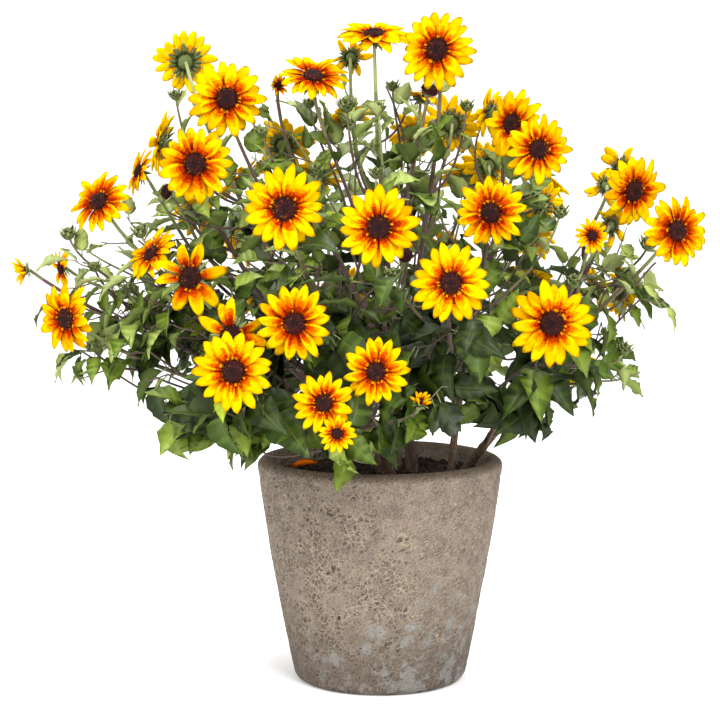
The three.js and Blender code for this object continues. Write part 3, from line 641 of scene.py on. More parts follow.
def bough_line(stem: StemPlan, bough: BoughPlan) -> Line:
    """A bough's centre line: off its stem at a wide angle, and a fifth of the way to its blooms' middle.

    Args:
        stem: the stem that it leaves. A bough at its very tip leads on from it.
        bough: the bough.

    Returns:
        The line, from the stem's own centre or from just above its tip.
    """
    line = stem_line(stem)
    foot, rising = line.at(bough.at), line.tangent(bough.at)
    chord = np.mean([bloom.centre for bloom in blooms_of(bough)], axis=0) - foot
    tip = foot + chord * BOUGH_SHARE
    length = float(np.linalg.norm(tip - foot))
    leads = bough.at == 1
    start = foot + rising * SEAT_GAP if leads else foot
    leaving = rising if leads else branching(rising, chord)
    set_out, run_in = leaving * BOUGH_SET_OUT * length, unit(chord) * BOUGH_RUN_IN * length
    return Line(np.array([start, start + set_out, tip - run_in, tip]))


def ring_faces(rings: int, sides: int) -> Array:
    """Four-sided faces between the rings of a tube, each facing outwards.

    Args:
        rings: how many rings it has.
        sides: points in each ring.

    Returns:
        Point numbers, as (faces, 4).
    """
    r, s = np.meshgrid(np.arange(rings - 1) * sides, np.arange(sides), indexing="ij")
    on = (s + 1) % sides
    return np.stack([r + s, r + on, r + sides + on, r + sides + s], -1).reshape(-1, 4)


def cap_faces(rings: int, sides: int) -> Array:
    """The two end faces of a tube, each facing outwards."""
    ring = np.arange(sides)
    return np.stack([ring[::-1], ring + (rings - 1) * sides])


def tube_points(path: Array, radii: Array, sides: int, ribs: Array | None = None) -> Array:
    """Rings of points square to a path.

    Args:
        path: points along each of N paths, as (N, rings, 3).
        radii: the radius at each, as (N, rings).
        sides: points in each ring.
        ribs: factors on the radius, as (N, rings, sides).

    Returns:
        The points, as (N, rings, sides, 3).
    """
    along = unit(np.gradient(path, axis=1))
    side, _ = square_to(unit(path[:, -1] - path[:, 0]))
    side = np.broadcast_to(side[:, None], along.shape)
    side = unit(side - along * np.sum(side * along, -1, keepdims=True))
    rise = np.cross(along, side)
    angle = circle(sides)
    spread = radii[..., None] * (1.0 if ribs is None else ribs)
    ray = side[:, :, None] * np.cos(angle)[:, None] + rise[:, :, None] * np.sin(angle)[:, None]
    return path[:, :, None] + ray * spread[..., None]


def laid(foot: Array, *steps: tuple[Array, Array]) -> Array:
    """Surfaces from their feet: so far along each of some directions.

    Args:
        foot: where each begins, (N, 3).
        steps: each a direction, (N, 3), with the distances along it, (N, rows, cols).

    Returns:
        (N, rows, cols, 3) places.
    """
    places = foot[:, None, None]
    for way, far in steps:
        places = places + way[:, None, None] * far[..., None]
    return places


@dataclass(frozen=True)
class Sheet:
    """A thin two-sided blade on a grid. Its back shares the front's rim, so it is closed."""

    rows: int
    cols: int

    def faces(self) -> Array:
        """The faces of the front and then of the back, which is wound the other way.

        Returns:
            Point numbers, as (faces, 4).
        """
        index = np.arange(self.rows * self.cols).reshape(self.rows, self.cols)
        behind = index.copy()
        inner = (self.rows - 2) * (self.cols - 2)
        behind[1:-1, 1:-1] = (index.size + np.arange(inner)).reshape(self.rows - 2, self.cols - 2)

        def quads(grid: Array) -> Array:
            """Four-sided faces between neighbours on a grid of point numbers."""
            corners = (grid[:-1, :-1], grid[:-1, 1:], grid[1:, 1:], grid[1:, :-1])
            return np.stack(corners, -1).reshape(-1, 4)

        return np.concatenate([quads(index), quads(behind)[:, [0, 3, 2, 1]]])

    def points(self, front: Array, thickness: float) -> Array:
        """The front's points and then the back's, set in along the surface's own normal.

        Args:
            front: (N, rows, cols, 3) places.
            thickness: how far the back lies behind, in millimetres.

        Returns:
            (N, points, 3) places, the back's without the rim.
        """
        normal = unit(np.cross(np.gradient(front, axis=2), np.gradient(front, axis=1)))
        back = (front - normal * thickness)[:, 1:-1, 1:-1]
        count = len(front)
        return np.concatenate([front.reshape(count, -1, 3), back.reshape(count, -1, 3)], axis=1)


def linear(tone: tuple[float, float, float]) -> tuple[float, float, float, float]:
    """A screen colour of 0 to 255 as the renderer's linear colour: the usual power of 2.4 with its toe.

    Args:
        tone: red, green and blue.

    Returns:
        Linear red, green and blue, with full cover.
    """
    c = np.asarray(tone, float) / 255.0
    c = np.where(c <= 0.04045, c / 12.92, ((c + 0.055) / 1.055) ** 2.4)
    return (float(c[0]), float(c[1]), float(c[2]), 1.0)


class Value:
    """A socket that takes part in sums: each operator adds a Math node to its tree."""

    def __init__(self, board: "Board", socket: Any) -> None:
        """Keeps the tree and the socket."""
        self.board = board
        self.socket = socket

    def _math(self, operation: str, first: Any, second: Any) -> "Value":
        """A Math node on two values."""
        return self.board.node("ShaderNodeMath", {"operation": operation}, {0: first, 1: second})

    def __add__(self, other: Any) -> "Value":
        """The sum."""
        return self._math("ADD", self, other)

    __radd__ = __add__

    def __sub__(self, other: Any) -> "Value":
        """The difference."""
        return self._math("SUBTRACT", self, other)

    def __rsub__(self, other: Any) -> "Value":
        """The difference from a number."""
        return self._math("SUBTRACT", other, self)

    def __mul__(self, other: Any) -> "Value":
        """The product."""
        return self._math("MULTIPLY", self, other)

    __rmul__ = __mul__


@dataclass
class Board:
    """The node tree of one material."""

    name: str
    material: Any = field(init=False)

    def __post_init__(self) -> None:
        """Makes an empty material."""
        self.material = bpy.data.materials.new(self.name)
        self.material.use_nodes = True
        self.material.node_tree.nodes.clear()

    def node(
        self, kind: str, settings: Mapping[str, Any], inputs: Mapping[Any, Any], out: Any = 0
    ) -> Value:
        """Adds a node.

        Args:
            kind: the node's type.
            settings: its own settings, which are set first.
            inputs: a number, colour or Value for each socket.
            out: which output to hand on.

        Returns:
            That output.
        """
        made = self.material.node_tree.nodes.new(kind)
        for key, value in settings.items():
            setattr(made, key, value)
        for key, value in inputs.items():
            if isinstance(value, Value):
                self.material.node_tree.links.new(value.socket, made.inputs[key])
            else:
                made.inputs[key].default_value = value
        return Value(self, made.outputs[out] if len(made.outputs) else None)

    def places(self) -> Value:
        """Object coordinates, in metres."""
        return self.node("ShaderNodeTexCoord", {}, {}, "Object")

    def part(self, vector: Value, axis: int) -> Value:
        """One number of a vector or colour."""
        return self.node("ShaderNodeSeparateXYZ", {}, {0: vector}, axis)

    def noise(self, vector: Value, scale: float, detail: float = 3.0, rough: float = 0.55) -> Value:
        """Soft noise of so many lumps a metre."""
        inputs = {"Vector": vector, "Scale": scale, "Detail": detail, "Roughness": rough}
        return self.node("ShaderNodeTexNoise", {}, inputs)

    def step(self, value: Value, low: float, high: float) -> Value:
        """A soft step from 0 at low to 1 at high."""
        inputs = {"Value": value, "From Min": low, "From Max": high}
        return self.node("ShaderNodeMapRange", {"interpolation_type": "SMOOTHSTEP"}, inputs)

    def blend(self, share: Any, first: Any, second: Any) -> Value:
        """One colour turned into another by a share."""
        return self.node("ShaderNodeMix", {"data_type": "RGBA"}, {0: share, 6: first, 7: second}, 2)

    def surface(self, inputs: Mapping[str, Any]) -> Any:
        """Ends the tree in a Principled shader and returns the material.

        Args:
            inputs: a number, colour or Value for each socket.

        Returns:
            The material.
        """
        shader = self.node("ShaderNodeBsdfPrincipled", {}, inputs)
        self.node("ShaderNodeOutputMaterial", {}, {"Surface": shader})
        return self.material

    def bump(self, height: Value, distance: float) -> Value:
        """A normal tilted by a height, whose full range is the distance in metres."""
        return self.node("ShaderNodeBump", {}, {"Height": height, "Distance": distance})


@dataclass(frozen=True)
class Plain:
    """A finish of one colour, for what is dealt out face by face."""

    name: str
    tone: tuple
    roughness: float
    shine: float
    sheen: float = 0.0

    def material(self) -> Any:
        """Its material, made once.

        Returns:
            The material.
        """
        found = bpy.data.materials.get(self.name)
        if found is not None:
            return found
        return Board(self.name).surface({
            "Base Color": linear(self.tone), "Roughness": self.roughness, "Sheen Weight": self.sheen,
            "Specular IOR Level": self.shine,
        })


@dataclass(frozen=True)
class Cement:
    """Weathered cement ware: a pale raised crackle, brown above, pits, and pale growth near the foot. The
    sunken middles of its cells and its pits are darkened with painted shade.

    The scales are lumps or cells a metre. The bend and the relief are in metres.
    """

    name: str = "weathered_cement"
    crackle: float = 165.0
    grain: float = 640.0
    swirls: float = 90.0
    broad: float = 11.0
    patches: float = 58.0
    pitting: float = 230.0
    spread: float = 34.0
    bend: float = 0.017
    relief: float = 0.0055
    body: tuple = (123, 110, 104)
    dark: tuple = (96, 83, 75)
    warm: tuple = (167, 151, 138)
    ridge: tuple = (242, 219, 188)
    growth: tuple = (186, 184, 178)
    rim: tuple = (112, 92, 70)
    hollow_shade_and_speck: tuple = (52, 43, 37)
    pit_shade: tuple = (52, 44, 38)

    def ridges(self, board: Board, at: Value, scale: float, width: float) -> tuple[Value, Value]:
        """Lines along the edges of cells, and the cells' sunken middles: soft steps of the edge distance.

        Args:
            board: the material's node tree.
            at: places.
            scale: cells a metre.
            width: how far from its edge a cell is raised, as a share of a cell.

        Returns:
            The lines and the middles, each from 0 to 1.
        """
        inputs = {"Vector": at, "Scale": scale}
        edge = board.node("ShaderNodeTexVoronoi", {"feature": "DISTANCE_TO_EDGE"}, inputs)
        return 1.0 - board.step(edge, 0.0, width), board.step(edge, width * 1.2, width * 3.0)

    def material(self) -> Any:
        """Its material: coats of colour laid over one another by noise, cell edges and height, with painted
        shade in the cells' sunken middles and in the pits.

        Returns:
            The material. Its crackle fades to the right and upwards, and its growth is densest at the foot.
        """
        board = Board(self.name)
        at = board.places()
        right, height = board.part(at, 0), board.part(at, 2)
        swirl = {0: board.noise(at, self.swirls, 5.0, 0.65), 1: (self.bend,) * 3, 2: at}
        bent = board.node("ShaderNodeVectorMath", {"operation": "MULTIPLY_ADD"}, swirl)
        coarse, middles = self.ridges(board, bent, self.crackle, 0.1)
        fine, pores = self.ridges(board, bent, self.crackle * 2.0, 0.16)
        cell = board.node("ShaderNodeTexVoronoi", {}, {"Vector": bent, "Scale": self.crackle}, 1)
        uneven = board.part(cell, 0)
        broad = board.noise(at, self.broad, 4.0)
        patch = board.noise(at, self.patches, 6.0, 0.68)
        grain = board.noise(at, self.grain, 4.0, 0.8)
        # Pits are darkened with painted shade, and sunk in the relief.
        pits = board.step(board.noise(at, self.pitting, 2.0) - 0.25 * right, 0.65, 0.7)
        spread = board.step(board.noise(at, self.spread, 4.0), 0.4, 0.6)
        cracked = board.step(broad - 1.6 * right - 0.5 * height + 0.2 * spread, 0.42, 0.66)
        lines = coarse * (0.2 + 0.8 * cracked) * (0.45 + 0.55 * spread) + fine * (0.65 - 0.4 * cracked)
        # Painted shade: the sunken middles of the cracked cells and the pores are darkened, and also
        # lowered in the relief.
        shaded_hollows = middles * cracked * (1.5 * uneven - 0.15) + pores * (0.5 - 0.2 * cracked)
        browned = board.step(height * 1.6 - 1.3 * right + broad, 0.62, 1.1)
        grown = board.step(patch - height + 0.5 * right, 0.5, 0.53)
        foot = 1.0 - board.step(height, 0.0, 0.11)
        lip = board.step(height, 0.247, 0.255)
        colour = board.blend(board.step(patch, 0.38, 0.6), linear(self.body), linear(self.warm))
        # The coats of the sunken middles and of the pits are painted shade. The grain's dark specks take
        # the same dark colour.
        coats = (
            (browned * 0.12, self.dark), (shaded_hollows * 0.62, self.hollow_shade_and_speck), (lines * 0.84, self.ridge),
            (grown * (0.85 - 0.5 * pores), self.growth), (foot * (0.55 - 0.3 * grown), self.dark),
            (lip * 0.7, self.rim), (pits * 0.85, self.pit_shade),
            (board.step(grain, 0.52, 0.68) * 0.45, self.hollow_shade_and_speck),
            ((1.0 - board.step(grain, 0.32, 0.46)) * 0.3, self.ridge),
        )
        for share, tone in coats:
            colour = board.blend(share, colour, linear(tone))
        relief = lines * 0.9 + grain * 0.6 - pits * 0.9 + grown * 0.5 - shaded_hollows * 0.6
        return board.surface({"Base Color": colour, "Roughness": 0.9, "Specular IOR Level": 0.2,
                              "Normal": board.bump(relief, self.relief)})


@dataclass(frozen=True)
class Earth:
    """Dark crumbly potting soil. The scale is lumps a metre, and the relief is in metres."""

    name: str = "potting_soil"
    lumps: float = 160.0
    relief: float = 0.003
    dark: tuple = (24, 17, 13)
    pale: tuple = (62, 45, 34)

    def material(self) -> Any:
        """Its material: two browns mixed by noise, with a grain in relief.

        Returns:
            The material.
        """
        board = Board(self.name)
        lump = board.noise(board.places(), self.lumps, 4.0, 0.7)
        colour = board.blend(board.step(lump, 0.35, 0.7), linear(self.dark), linear(self.pale))
        return board.surface({"Base Color": colour, "Roughness": 0.95, "Specular IOR Level": 0.2,
                              "Normal": board.bump(lump, self.relief)})


@dataclass(frozen=True)
class Bark:
    """Hairy stem skin, purple-brown at the foot and greener above. Scales and relief are as the soil's."""

    name: str = "stem_bark"
    streaks: float = 620.0
    streak_height: float = 0.18
    patches: float = 70.0
    relief: float = 0.0009
    dark: tuple = (62, 45, 36)
    pale: tuple = (108, 86, 66)
    green: tuple = (96, 104, 66)

    def material(self) -> Any:
        """Its material: browns mixed by noise, turned to green with height, with fine streaks in relief.

        Returns:
            The material.
        """
        board = Board(self.name)
        at = board.places()
        drawn = board.node("ShaderNodeMapping", {}, {"Vector": at, "Scale": (1.0, 1.0, self.streak_height)})
        streak = board.noise(drawn, self.streaks)
        colour = board.blend(board.step(streak, 0.35, 0.65), linear(self.dark), linear(self.pale))
        greened = board.step(board.part(at, 2) + 0.12 * board.noise(at, self.patches), 0.34, 0.46)
        colour = board.blend(greened * 0.6, colour, linear(self.green))
        return board.surface({"Base Color": colour, "Roughness": 0.7, "Specular IOR Level": 0.3,
                              "Normal": board.bump(streak, self.relief)})


def ramp(colours: Sequence[tuple], count: int) -> list[tuple]:
    """Colours spread evenly over a row of colours, each channel interpolated."""
    at = np.linspace(0, len(colours) - 1, count)
    return list(zip(*(np.interp(at, np.arange(len(colours)), channel) for channel in zip(*colours))))


def toned(tone: tuple, lift: float, grey: float = 0.0) -> tuple:
    """A colour mixed with its own mean and then with white.

    Args:
        tone: the colour.
        lift: the share of white.
        grey: the share of the mean.

    Returns:
        The colour.
    """
    c = np.asarray(tone, float)
    c = c + (c.mean() - c) * grey
    return tuple(float(v) for v in c + (255.0 - c) * lift)


def plains(kind: str, rows: Sequence[tuple]) -> tuple[Plain, ...]:
    """Finishes of one kind, from rows of name, colour, roughness, shine and, for some, sheen."""
    return tuple(Plain(f"{kind}_{name}", *rest) for name, *rest in rows)


# Leaf tones run from dark to pale, and the last is a ripe leaf's. Ribs and undersides follow in the same
# order.
LEAF_RAMP = ramp(((32, 45, 7), (53, 71, 13), (80, 100, 22), (112, 130, 43), (148, 162, 82)), 9)
LEAF_TONES = (*LEAF_RAMP, (150, 170, 32))
YELLOWED = len(LEAF_RAMP)
RIB, UNDER, SPOT = (len(LEAF_TONES) * n for n in (1, 2, 3))
LEAF_FINISHES = plains("leaf", (
    *((f"blade_{n}", tone, 0.46, 0.24) for n, tone in enumerate(LEAF_TONES)),
    *((f"rib_{n}", toned(tone, 0.13), 0.6, 0.15) for n, tone in enumerate(LEAF_TONES)),
    *((f"under_{n}", toned(tone, 0.1, 0.15), 0.8, 0.1) for n, tone in enumerate(LEAF_TONES)),
    ("spot", (100, 112, 38), 0.6, 0.15),
))


class PetalTone(IntEnum):
    """A petal's colours: slivers at its foot, a ramp that starts at its dark ring, and its back."""

    TOOTH = 0
    DEEP = 1
    BACK_FOOT = 10
    BACK = 11


PETAL_RAMP = ramp(((108, 22, 4), (152, 46, 2), (194, 90, 0), (214, 143, 0), (217, 177, 2)), 9)
PETAL_FINISHES = plains("petal", (
    ("tooth", (202, 126, 6), 0.8, 0.0), *((n, tone, 0.8, 0.0) for n, tone in enumerate(PETAL_RAMP)),
    ("back_foot", (208, 136, 4), 0.8, 0.0), ("back", (230, 180, 2), 0.8, 0.0),
))
DISC_FINISHES = plains("disc", (
    ("core", (14, 7, 6), 0.75, 0.15), ("maroon", (38, 9, 8), 0.7, 0.15), ("rust", (74, 19, 10), 0.7, 0.15),
    ("pollen", (126, 66, 14), 0.8, 0.1),
))
GREEN_FINISHES = plains("bract", (
    ("dark", (56, 64, 32), 0.7, 0.15), ("mid", (88, 98, 56), 0.7, 0.15),
    ("pale", (128, 136, 88), 0.7, 0.15), ("tip", (156, 160, 98), 0.7, 0.15),
))
TWIG_FINISHES = plains("twig", (
    ("brown", (76, 56, 48), 0.7, 0.35, 0.15), ("olive", (98, 88, 60), 0.65, 0.35, 0.15),
    ("green", (110, 120, 68), 0.6, 0.35, 0.15), ("pale", (140, 150, 92), 0.6, 0.35, 0.15),
))
FOLIAGE_FINISHES = {
    "twigs": TWIG_FINISHES, "leaves": LEAF_FINISHES, "petals": PETAL_FINISHES, "discs": DISC_FINISHES,
    "calyces": GREEN_FINISHES,
}

# A petal's rows: how far out each is as a share of the bloom's radius, how far its middle runs ahead of its
# margins, how far it strays by chance, and how far its tip is notched
PETAL_EDGES = np.array([0.25, 0.35, 0.43, 0.51, 0.59, 0.69, 0.86, 1.0])
PETAL_COLUMNS = np.array([-1.0, -0.5, 0.0, 0.5, 1.0])
PETAL_TONGUE = np.array([0.0, 0.1, 0.5, 0.9, 1.0, 0.8, 0.2, 0.0])[:, None] * 0.12
PETAL_JITTER = np.array([0.0, 0.01, 0.02, 0.03, 0.03, 0.03, 0.01, 0.0])[:, None]
PETAL_NOTCH = np.array([0.06, 0.02, 0.0, 0.02, 0.06])
PETAL_LEANS = {Kind.OPEN: 0.16, Kind.FEW: 0.1, Kind.HALF: 0.95}
PETAL_COUNTS = {Kind.FEW: 8, Kind.HALF: 11, Kind.SPENT: 0}
RING_AT, RING_LEVELS = (0.3, 0.37, 0.45, 0.55, 0.66, 0.8), (0.2, 1.0, 2.8, 4.9, 6.8, 8.0)

# A leaf's rows from foot to tip and columns from margin to margin, with its rib in the middle
LEAF_ROWS = np.array([0.01, 0.06, 0.14, 0.24, 0.34, 0.44, 0.55, 0.66, 0.77, 0.88, 0.99])
LEAF_COLUMNS = np.array([-1.0, -0.05, 0.05, 1.0])


@dataclass
class Heap:
    """Meshes of one kind, joined into one piece. Each face has a shade, the number of its finish."""

    name: str
    slot: str
    finishes: Sequence[Any]
    flat: bool = False
    points: list = field(default_factory=list)
    corners: list = field(default_factory=list)
    sizes: list = field(default_factory=list)
    shades: list = field(default_factory=list)
    count: int = 0

    def add(self, points: Array, *groups: tuple[Array, Any]) -> None:
        """Adds copies of a mesh.

        Args:
            points: (N, V, 3) places, in millimetres.
            groups: faces as (F, corners), each with its shades as a number, (F,) or (N, F).
        """
        copies, each = points.shape[:2]
        starts = self.count + np.arange(copies) * each
        for faces, shades in groups:
            placed = faces[None] + starts[:, None, None]
            self.corners.append(placed.reshape(-1))
            self.sizes.append(np.full(copies * len(faces), faces.shape[1]))
            self.shades.append(np.broadcast_to(shades, (copies, len(faces))).reshape(-1))
        self.points.append(points.reshape(-1, 3))
        self.count += copies * each

    def tube(self, rings: Array, shades: Any = 0, ends: int = 0) -> None:
        """Adds tubes closed at both ends.

        Args:
            rings: (N, rings, sides, 3) places.
            shades: the shades of their faces.
            ends: the shade of their end faces.
        """
        copies, count, sides = rings.shape[:3]
        faces, caps = ring_faces(count, sides), cap_faces(count, sides)
        self.add(rings.reshape(copies, -1, 3), (faces, shades), (caps, ends))

    def sheets(self, grid: Sheet, surface: Array, thickness: float, shades: Any) -> None:
        """Adds thin two-sided blades, from their fronts as (N, rows, cols, 3) places."""
        self.add(grid.points(surface, thickness), (grid.faces(), shades))

    def piece(self, nodes: Sequence[str]) -> Any:
        """Makes the piece, lets it ride on the root and stand for CAD nodes, and reports it.

        Args:
            nodes: the names of the nodes that it replaces.

        Returns:
            The object, whose mesh holds its place.
        """
        mesh = bpy.data.meshes.new(self.name)
        places, corners = np.concatenate(self.points) * MM, np.concatenate(self.corners)
        sizes = np.concatenate(self.sizes)
        mesh.vertices.add(len(places))
        mesh.vertices.foreach_set("co", places.astype(np.float32).reshape(-1))
        mesh.loops.add(len(corners))
        mesh.loops.foreach_set("vertex_index", corners.astype(np.int32))
        mesh.polygons.add(len(sizes))
        mesh.polygons.foreach_set("loop_start", (np.cumsum(sizes) - sizes).astype(np.int32))
        mesh.polygons.foreach_set("material_index", np.concatenate(self.shades).astype(np.int32))
        mesh.polygons.foreach_set("use_smooth", np.full(len(sizes), not self.flat))
        for finish in self.finishes:
            mesh.materials.append(finish.material())
        mesh.update(calc_edges=True)
        made = bpy.data.objects.new(self.name, mesh)
        bpy.context.scene.collection.objects.link(made)
        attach(made, "root")
        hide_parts(*nodes)
        LOG.info("%s: %d faces, %d triangles", self.name, len(sizes), int((sizes - 2).sum()))
        return made


@dataclass
class Pot:
    """The pot: a turned wall whose outside is pitted and scaled."""

    around_count: int = 300
    foot_rows: int = 7
    wall_rows: int = 150
    lip_rows: int = 14
    scale_depth: float = 0.55
    dent_depth: float = 0.9
    swell_depth: float = 1.2
    scale_cells: tuple[float, float] = (9.0, 4.5)
    dent_cells: tuple[float, float] = (7.0, 30.0)
    swell_cell: float = 45.0
    pole: float = 1.0
    foot_ring: float = 60.0
    drop_rows: int = 10

    def profile(self) -> tuple[Array, Array]:
        """Radii and heights from the underside's middle, up the wall, over the lip and down to the floor.

        Returns:
            The profile's points, and how much of the relief each takes.
        """
        lip = WALL / 2
        shoulder = POT_HEIGHT - lip
        turn = np.radians(np.linspace(-90, -10, self.foot_rows))
        corner = pot_radius(FOOT_ROUNDING) - FOOT_ROUNDING
        foot = np.stack([corner + FOOT_ROUNDING * np.cos(turn), FOOT_ROUNDING * (1 + np.sin(turn))], 1)
        rise = np.linspace(FOOT_ROUNDING, shoulder, self.wall_rows)
        wall = np.stack([pot_radius(rise), rise], 1)
        over = np.radians(np.linspace(0, 180, self.lip_rows))[1:]
        middle = pot_radius(shoulder) - lip
        edge = np.stack([middle + lip * np.cos(over), shoulder + lip * np.sin(over)], 1)
        drop = np.linspace(shoulder - 3, FLOOR, self.drop_rows)
        inside = np.stack([pot_radius(drop) - WALL, drop], 1)
        under = [[self.pole, 0.0], [self.foot_ring, 0.0]]
        line = np.concatenate([under, foot, wall, edge, inside, [[self.pole, FLOOR]]])
        outside = np.ones(len(under) + len(foot) + len(wall))
        rough = np.concatenate([outside, np.full(len(edge), 0.8), np.full(len(inside) + 1, 0.2)])
        taken = smooth(line[:, 1], 2.0, 14.0) * rough
        taken[-1] = 0.0
        return line, taken

    def build(self) -> Any:
        """Turns the profile and sets each point out by scales and in by dents, both from noise.

        Returns:
            The piece.
        """
        line, taken = self.profile()
        points, ray = revolve(line, self.around_count)
        broad, fine = self.scale_cells
        scales = smooth(lumps(points, broad, 1) * 0.6 + lumps(points, fine, 2) * 0.4, 0.42, 0.58)
        small, spread = self.dent_cells
        dents = smooth(lumps(points, small, 3) * 0.7 + lumps(points, spread, 4) * 0.3, 0.66, 0.8)
        swell = lumps(points, self.swell_cell, 5) - 0.5
        depth = scales * self.scale_depth - dents * self.dent_depth + swell * self.swell_depth
        points = points + ray[None] * (depth * taken[:, None])[..., None]
        heap = Heap("pot_wall", "pot", (Cement(),))
        heap.tube(points[None])
        return heap.piece(["pot"])


@dataclass
class Soil:
    """The soil: an uneven bed with crumbs on it."""

    rings: int = 40
    around_count: int = 96
    crumbs: int = 1100
    crumb_sizes: tuple[float, float] = (1.2, 3.6)
    crumb_heights: tuple[float, float] = (-1.0, 1.6)
    unevenness: float = 5.0

    def build(self, rng: np.random.Generator) -> Any:
        """Raises the bed by noise and strews lumps of eight faces over it.

        Args:
            rng: the draws.

        Returns:
            The piece.
        """
        edge = float(pot_radius(SOIL_TOP)) - WALL - 1.0
        top = np.stack([np.linspace(edge, 1.0, self.rings), np.full(self.rings, SOIL_TOP - 2.0)], 1)
        line = np.concatenate([[[1.0, FLOOR + 1], [edge - 22.0, FLOOR + 1]], top])
        points, _ = revolve(line, self.around_count)
        rough = lumps(points, 16.0, 7) * 0.6 + lumps(points, 6.0, 8) * 0.4 - 0.5
        points[2:, :, 2] += (rough * self.unevenness)[2:]
        heap = Heap("soil_bed", "soil", (Earth(),), flat=True)
        heap.tube(points[None])
        away = edge * 0.98 * np.sqrt(rng.uniform(0, 1, self.crumbs))
        turn = rng.uniform(0, 2 * np.pi, self.crumbs)
        size = rng.uniform(*self.crumb_sizes, self.crumbs)
        level = np.full(self.crumbs, SOIL_TOP - 1.0)
        middle = np.stack([away * np.cos(turn), away * np.sin(turn), level], 1)
        middle[:, 2] += rng.uniform(*self.crumb_heights, self.crumbs)
        corners = np.array([[1, 0, 0], [0, 1, 0], [-1, 0, 0], [0, -1, 0], [0, 0, 1], [0, 0, -1]], float)
        shape = corners[None] * rng.uniform(0.6, 1.3, (self.crumbs, 6, 1)) * size[:, None, None]
        lower = PYRAMID[:, [1, 0, 2]] + np.array([0, 0, 1])
        heap.add(middle[:, None] + shape, (PYRAMID, 0), (lower, 0))
        return heap.piece(["soil"])


@dataclass(frozen=True)
class Twig:
    """A twig's line, its radii, the span of it that has leaves, and whether it carries a bloom or bud."""

    line: Line
    foot: float
    tip: float
    leafy: tuple[float, float]
    flowering: bool


@dataclass
class Mass:
    """One mass, grown by the same rule as its solid: a stem, stalks, buds and leafy shoots."""

    plan: BoughPlan
    bough: Line
    seed: int
    blooms: list[Bloom] = field(init=False)
    buds: list[tuple[Array, Array, float]] = field(init=False, default_factory=list)
    twigs: list[Twig] = field(init=False, default_factory=list)
    outward: Array = field(init=False)
    reach: float = field(init=False)
    top: float = field(init=False)
    bottom: float = field(init=False)
    stem: Line = field(init=False)

    def __post_init__(self) -> None:
        """Finds how far the mass reaches and grows its twigs."""
        self.blooms = blooms_of(self.plan)
        tips = shoots_of(self.plan, self.blooms)
        heads = [np.array(bud[:3], float) for bud in self.plan.buds]
        ends = np.array([bloom.centre for bloom in self.blooms] + heads + tips)
        outward = (ends.mean(axis=0) - CROWN_CENTRE) * np.array([1.0, 1.0, 0.0])
        self.outward = unit(outward)
        self.reach = float((ends @ self.outward).max()) + LEAF_ROOM
        self.top = float(ends[:, 2].max()) + LEAF_ROOM
        self.bottom = float(ends[:, 2].min()) - LEAF_HANG
        self.grow(tips)

    def side(self, at: float, end: Array, faces: Array) -> Line:
        """A side twig of the mass's own stem."""
        root = self.stem.at(at)
        return stalk(root, branching(self.stem.tangent(at), end - root), end, faces)

    def grow(self, tips: Sequence[Array]) -> None:
        """The stem runs to the furthest bloom. Other blooms, buds and shoots leave it in turn.

        Args:
            tips: the tips of its leafy shoots.
        """
        start = self.bough.at(1.0) + self.bough.tangent(1.0) * SEAT_GAP
        order = sorted(self.blooms, key=lambda bloom: -np.linalg.norm(bloom.centre - start))
        last, rest = order[0], order[1:]
        self.stem = stalk(start, self.bough.tangent(1.0), last.back, last.faces)
        self.twigs.append(Twig(self.stem, BOUGH_TIP_RADIUS, TWIG_TIP_RADIUS, LEAFY_STEM, True))
        for i, bloom in enumerate(rest):
            line = self.side(FIRST_STALK + STALK_SPAN * (i + 0.5) / len(rest), bloom.back, bloom.faces)
            self.twigs.append(Twig(line, STALK_RADIUS, TWIG_TIP_RADIUS, LEAFY_STALK, True))
        for i, (x, y, z, radius) in enumerate(self.plan.buds):
            centre = np.array([x, y, z], float)
            line = self.side(FIRST_BUD + BUD_SPAN * chance(self.seed, 40 + i), centre, UP)
            self.twigs.append(Twig(line, SHOOT_RADIUS, SHOOT_TIP_RADIUS, LEAFY_BUD, True))
            self.buds.append((centre, line.tangent(1.0), max(radius, LEAST_BUD)))
        onward = mix((self.outward, 1), (UP, -SHOOT_SINK))
        for i, tip in enumerate(tips):
            line = self.side(FIRST_SHOOT + SHOOT_SPAN * (i + 0.5) / len(tips), tip, onward)
            self.twigs.append(Twig(line, SHOOT_RADIUS, SHOOT_TIP_RADIUS, LEAFY_SHOOT, False))


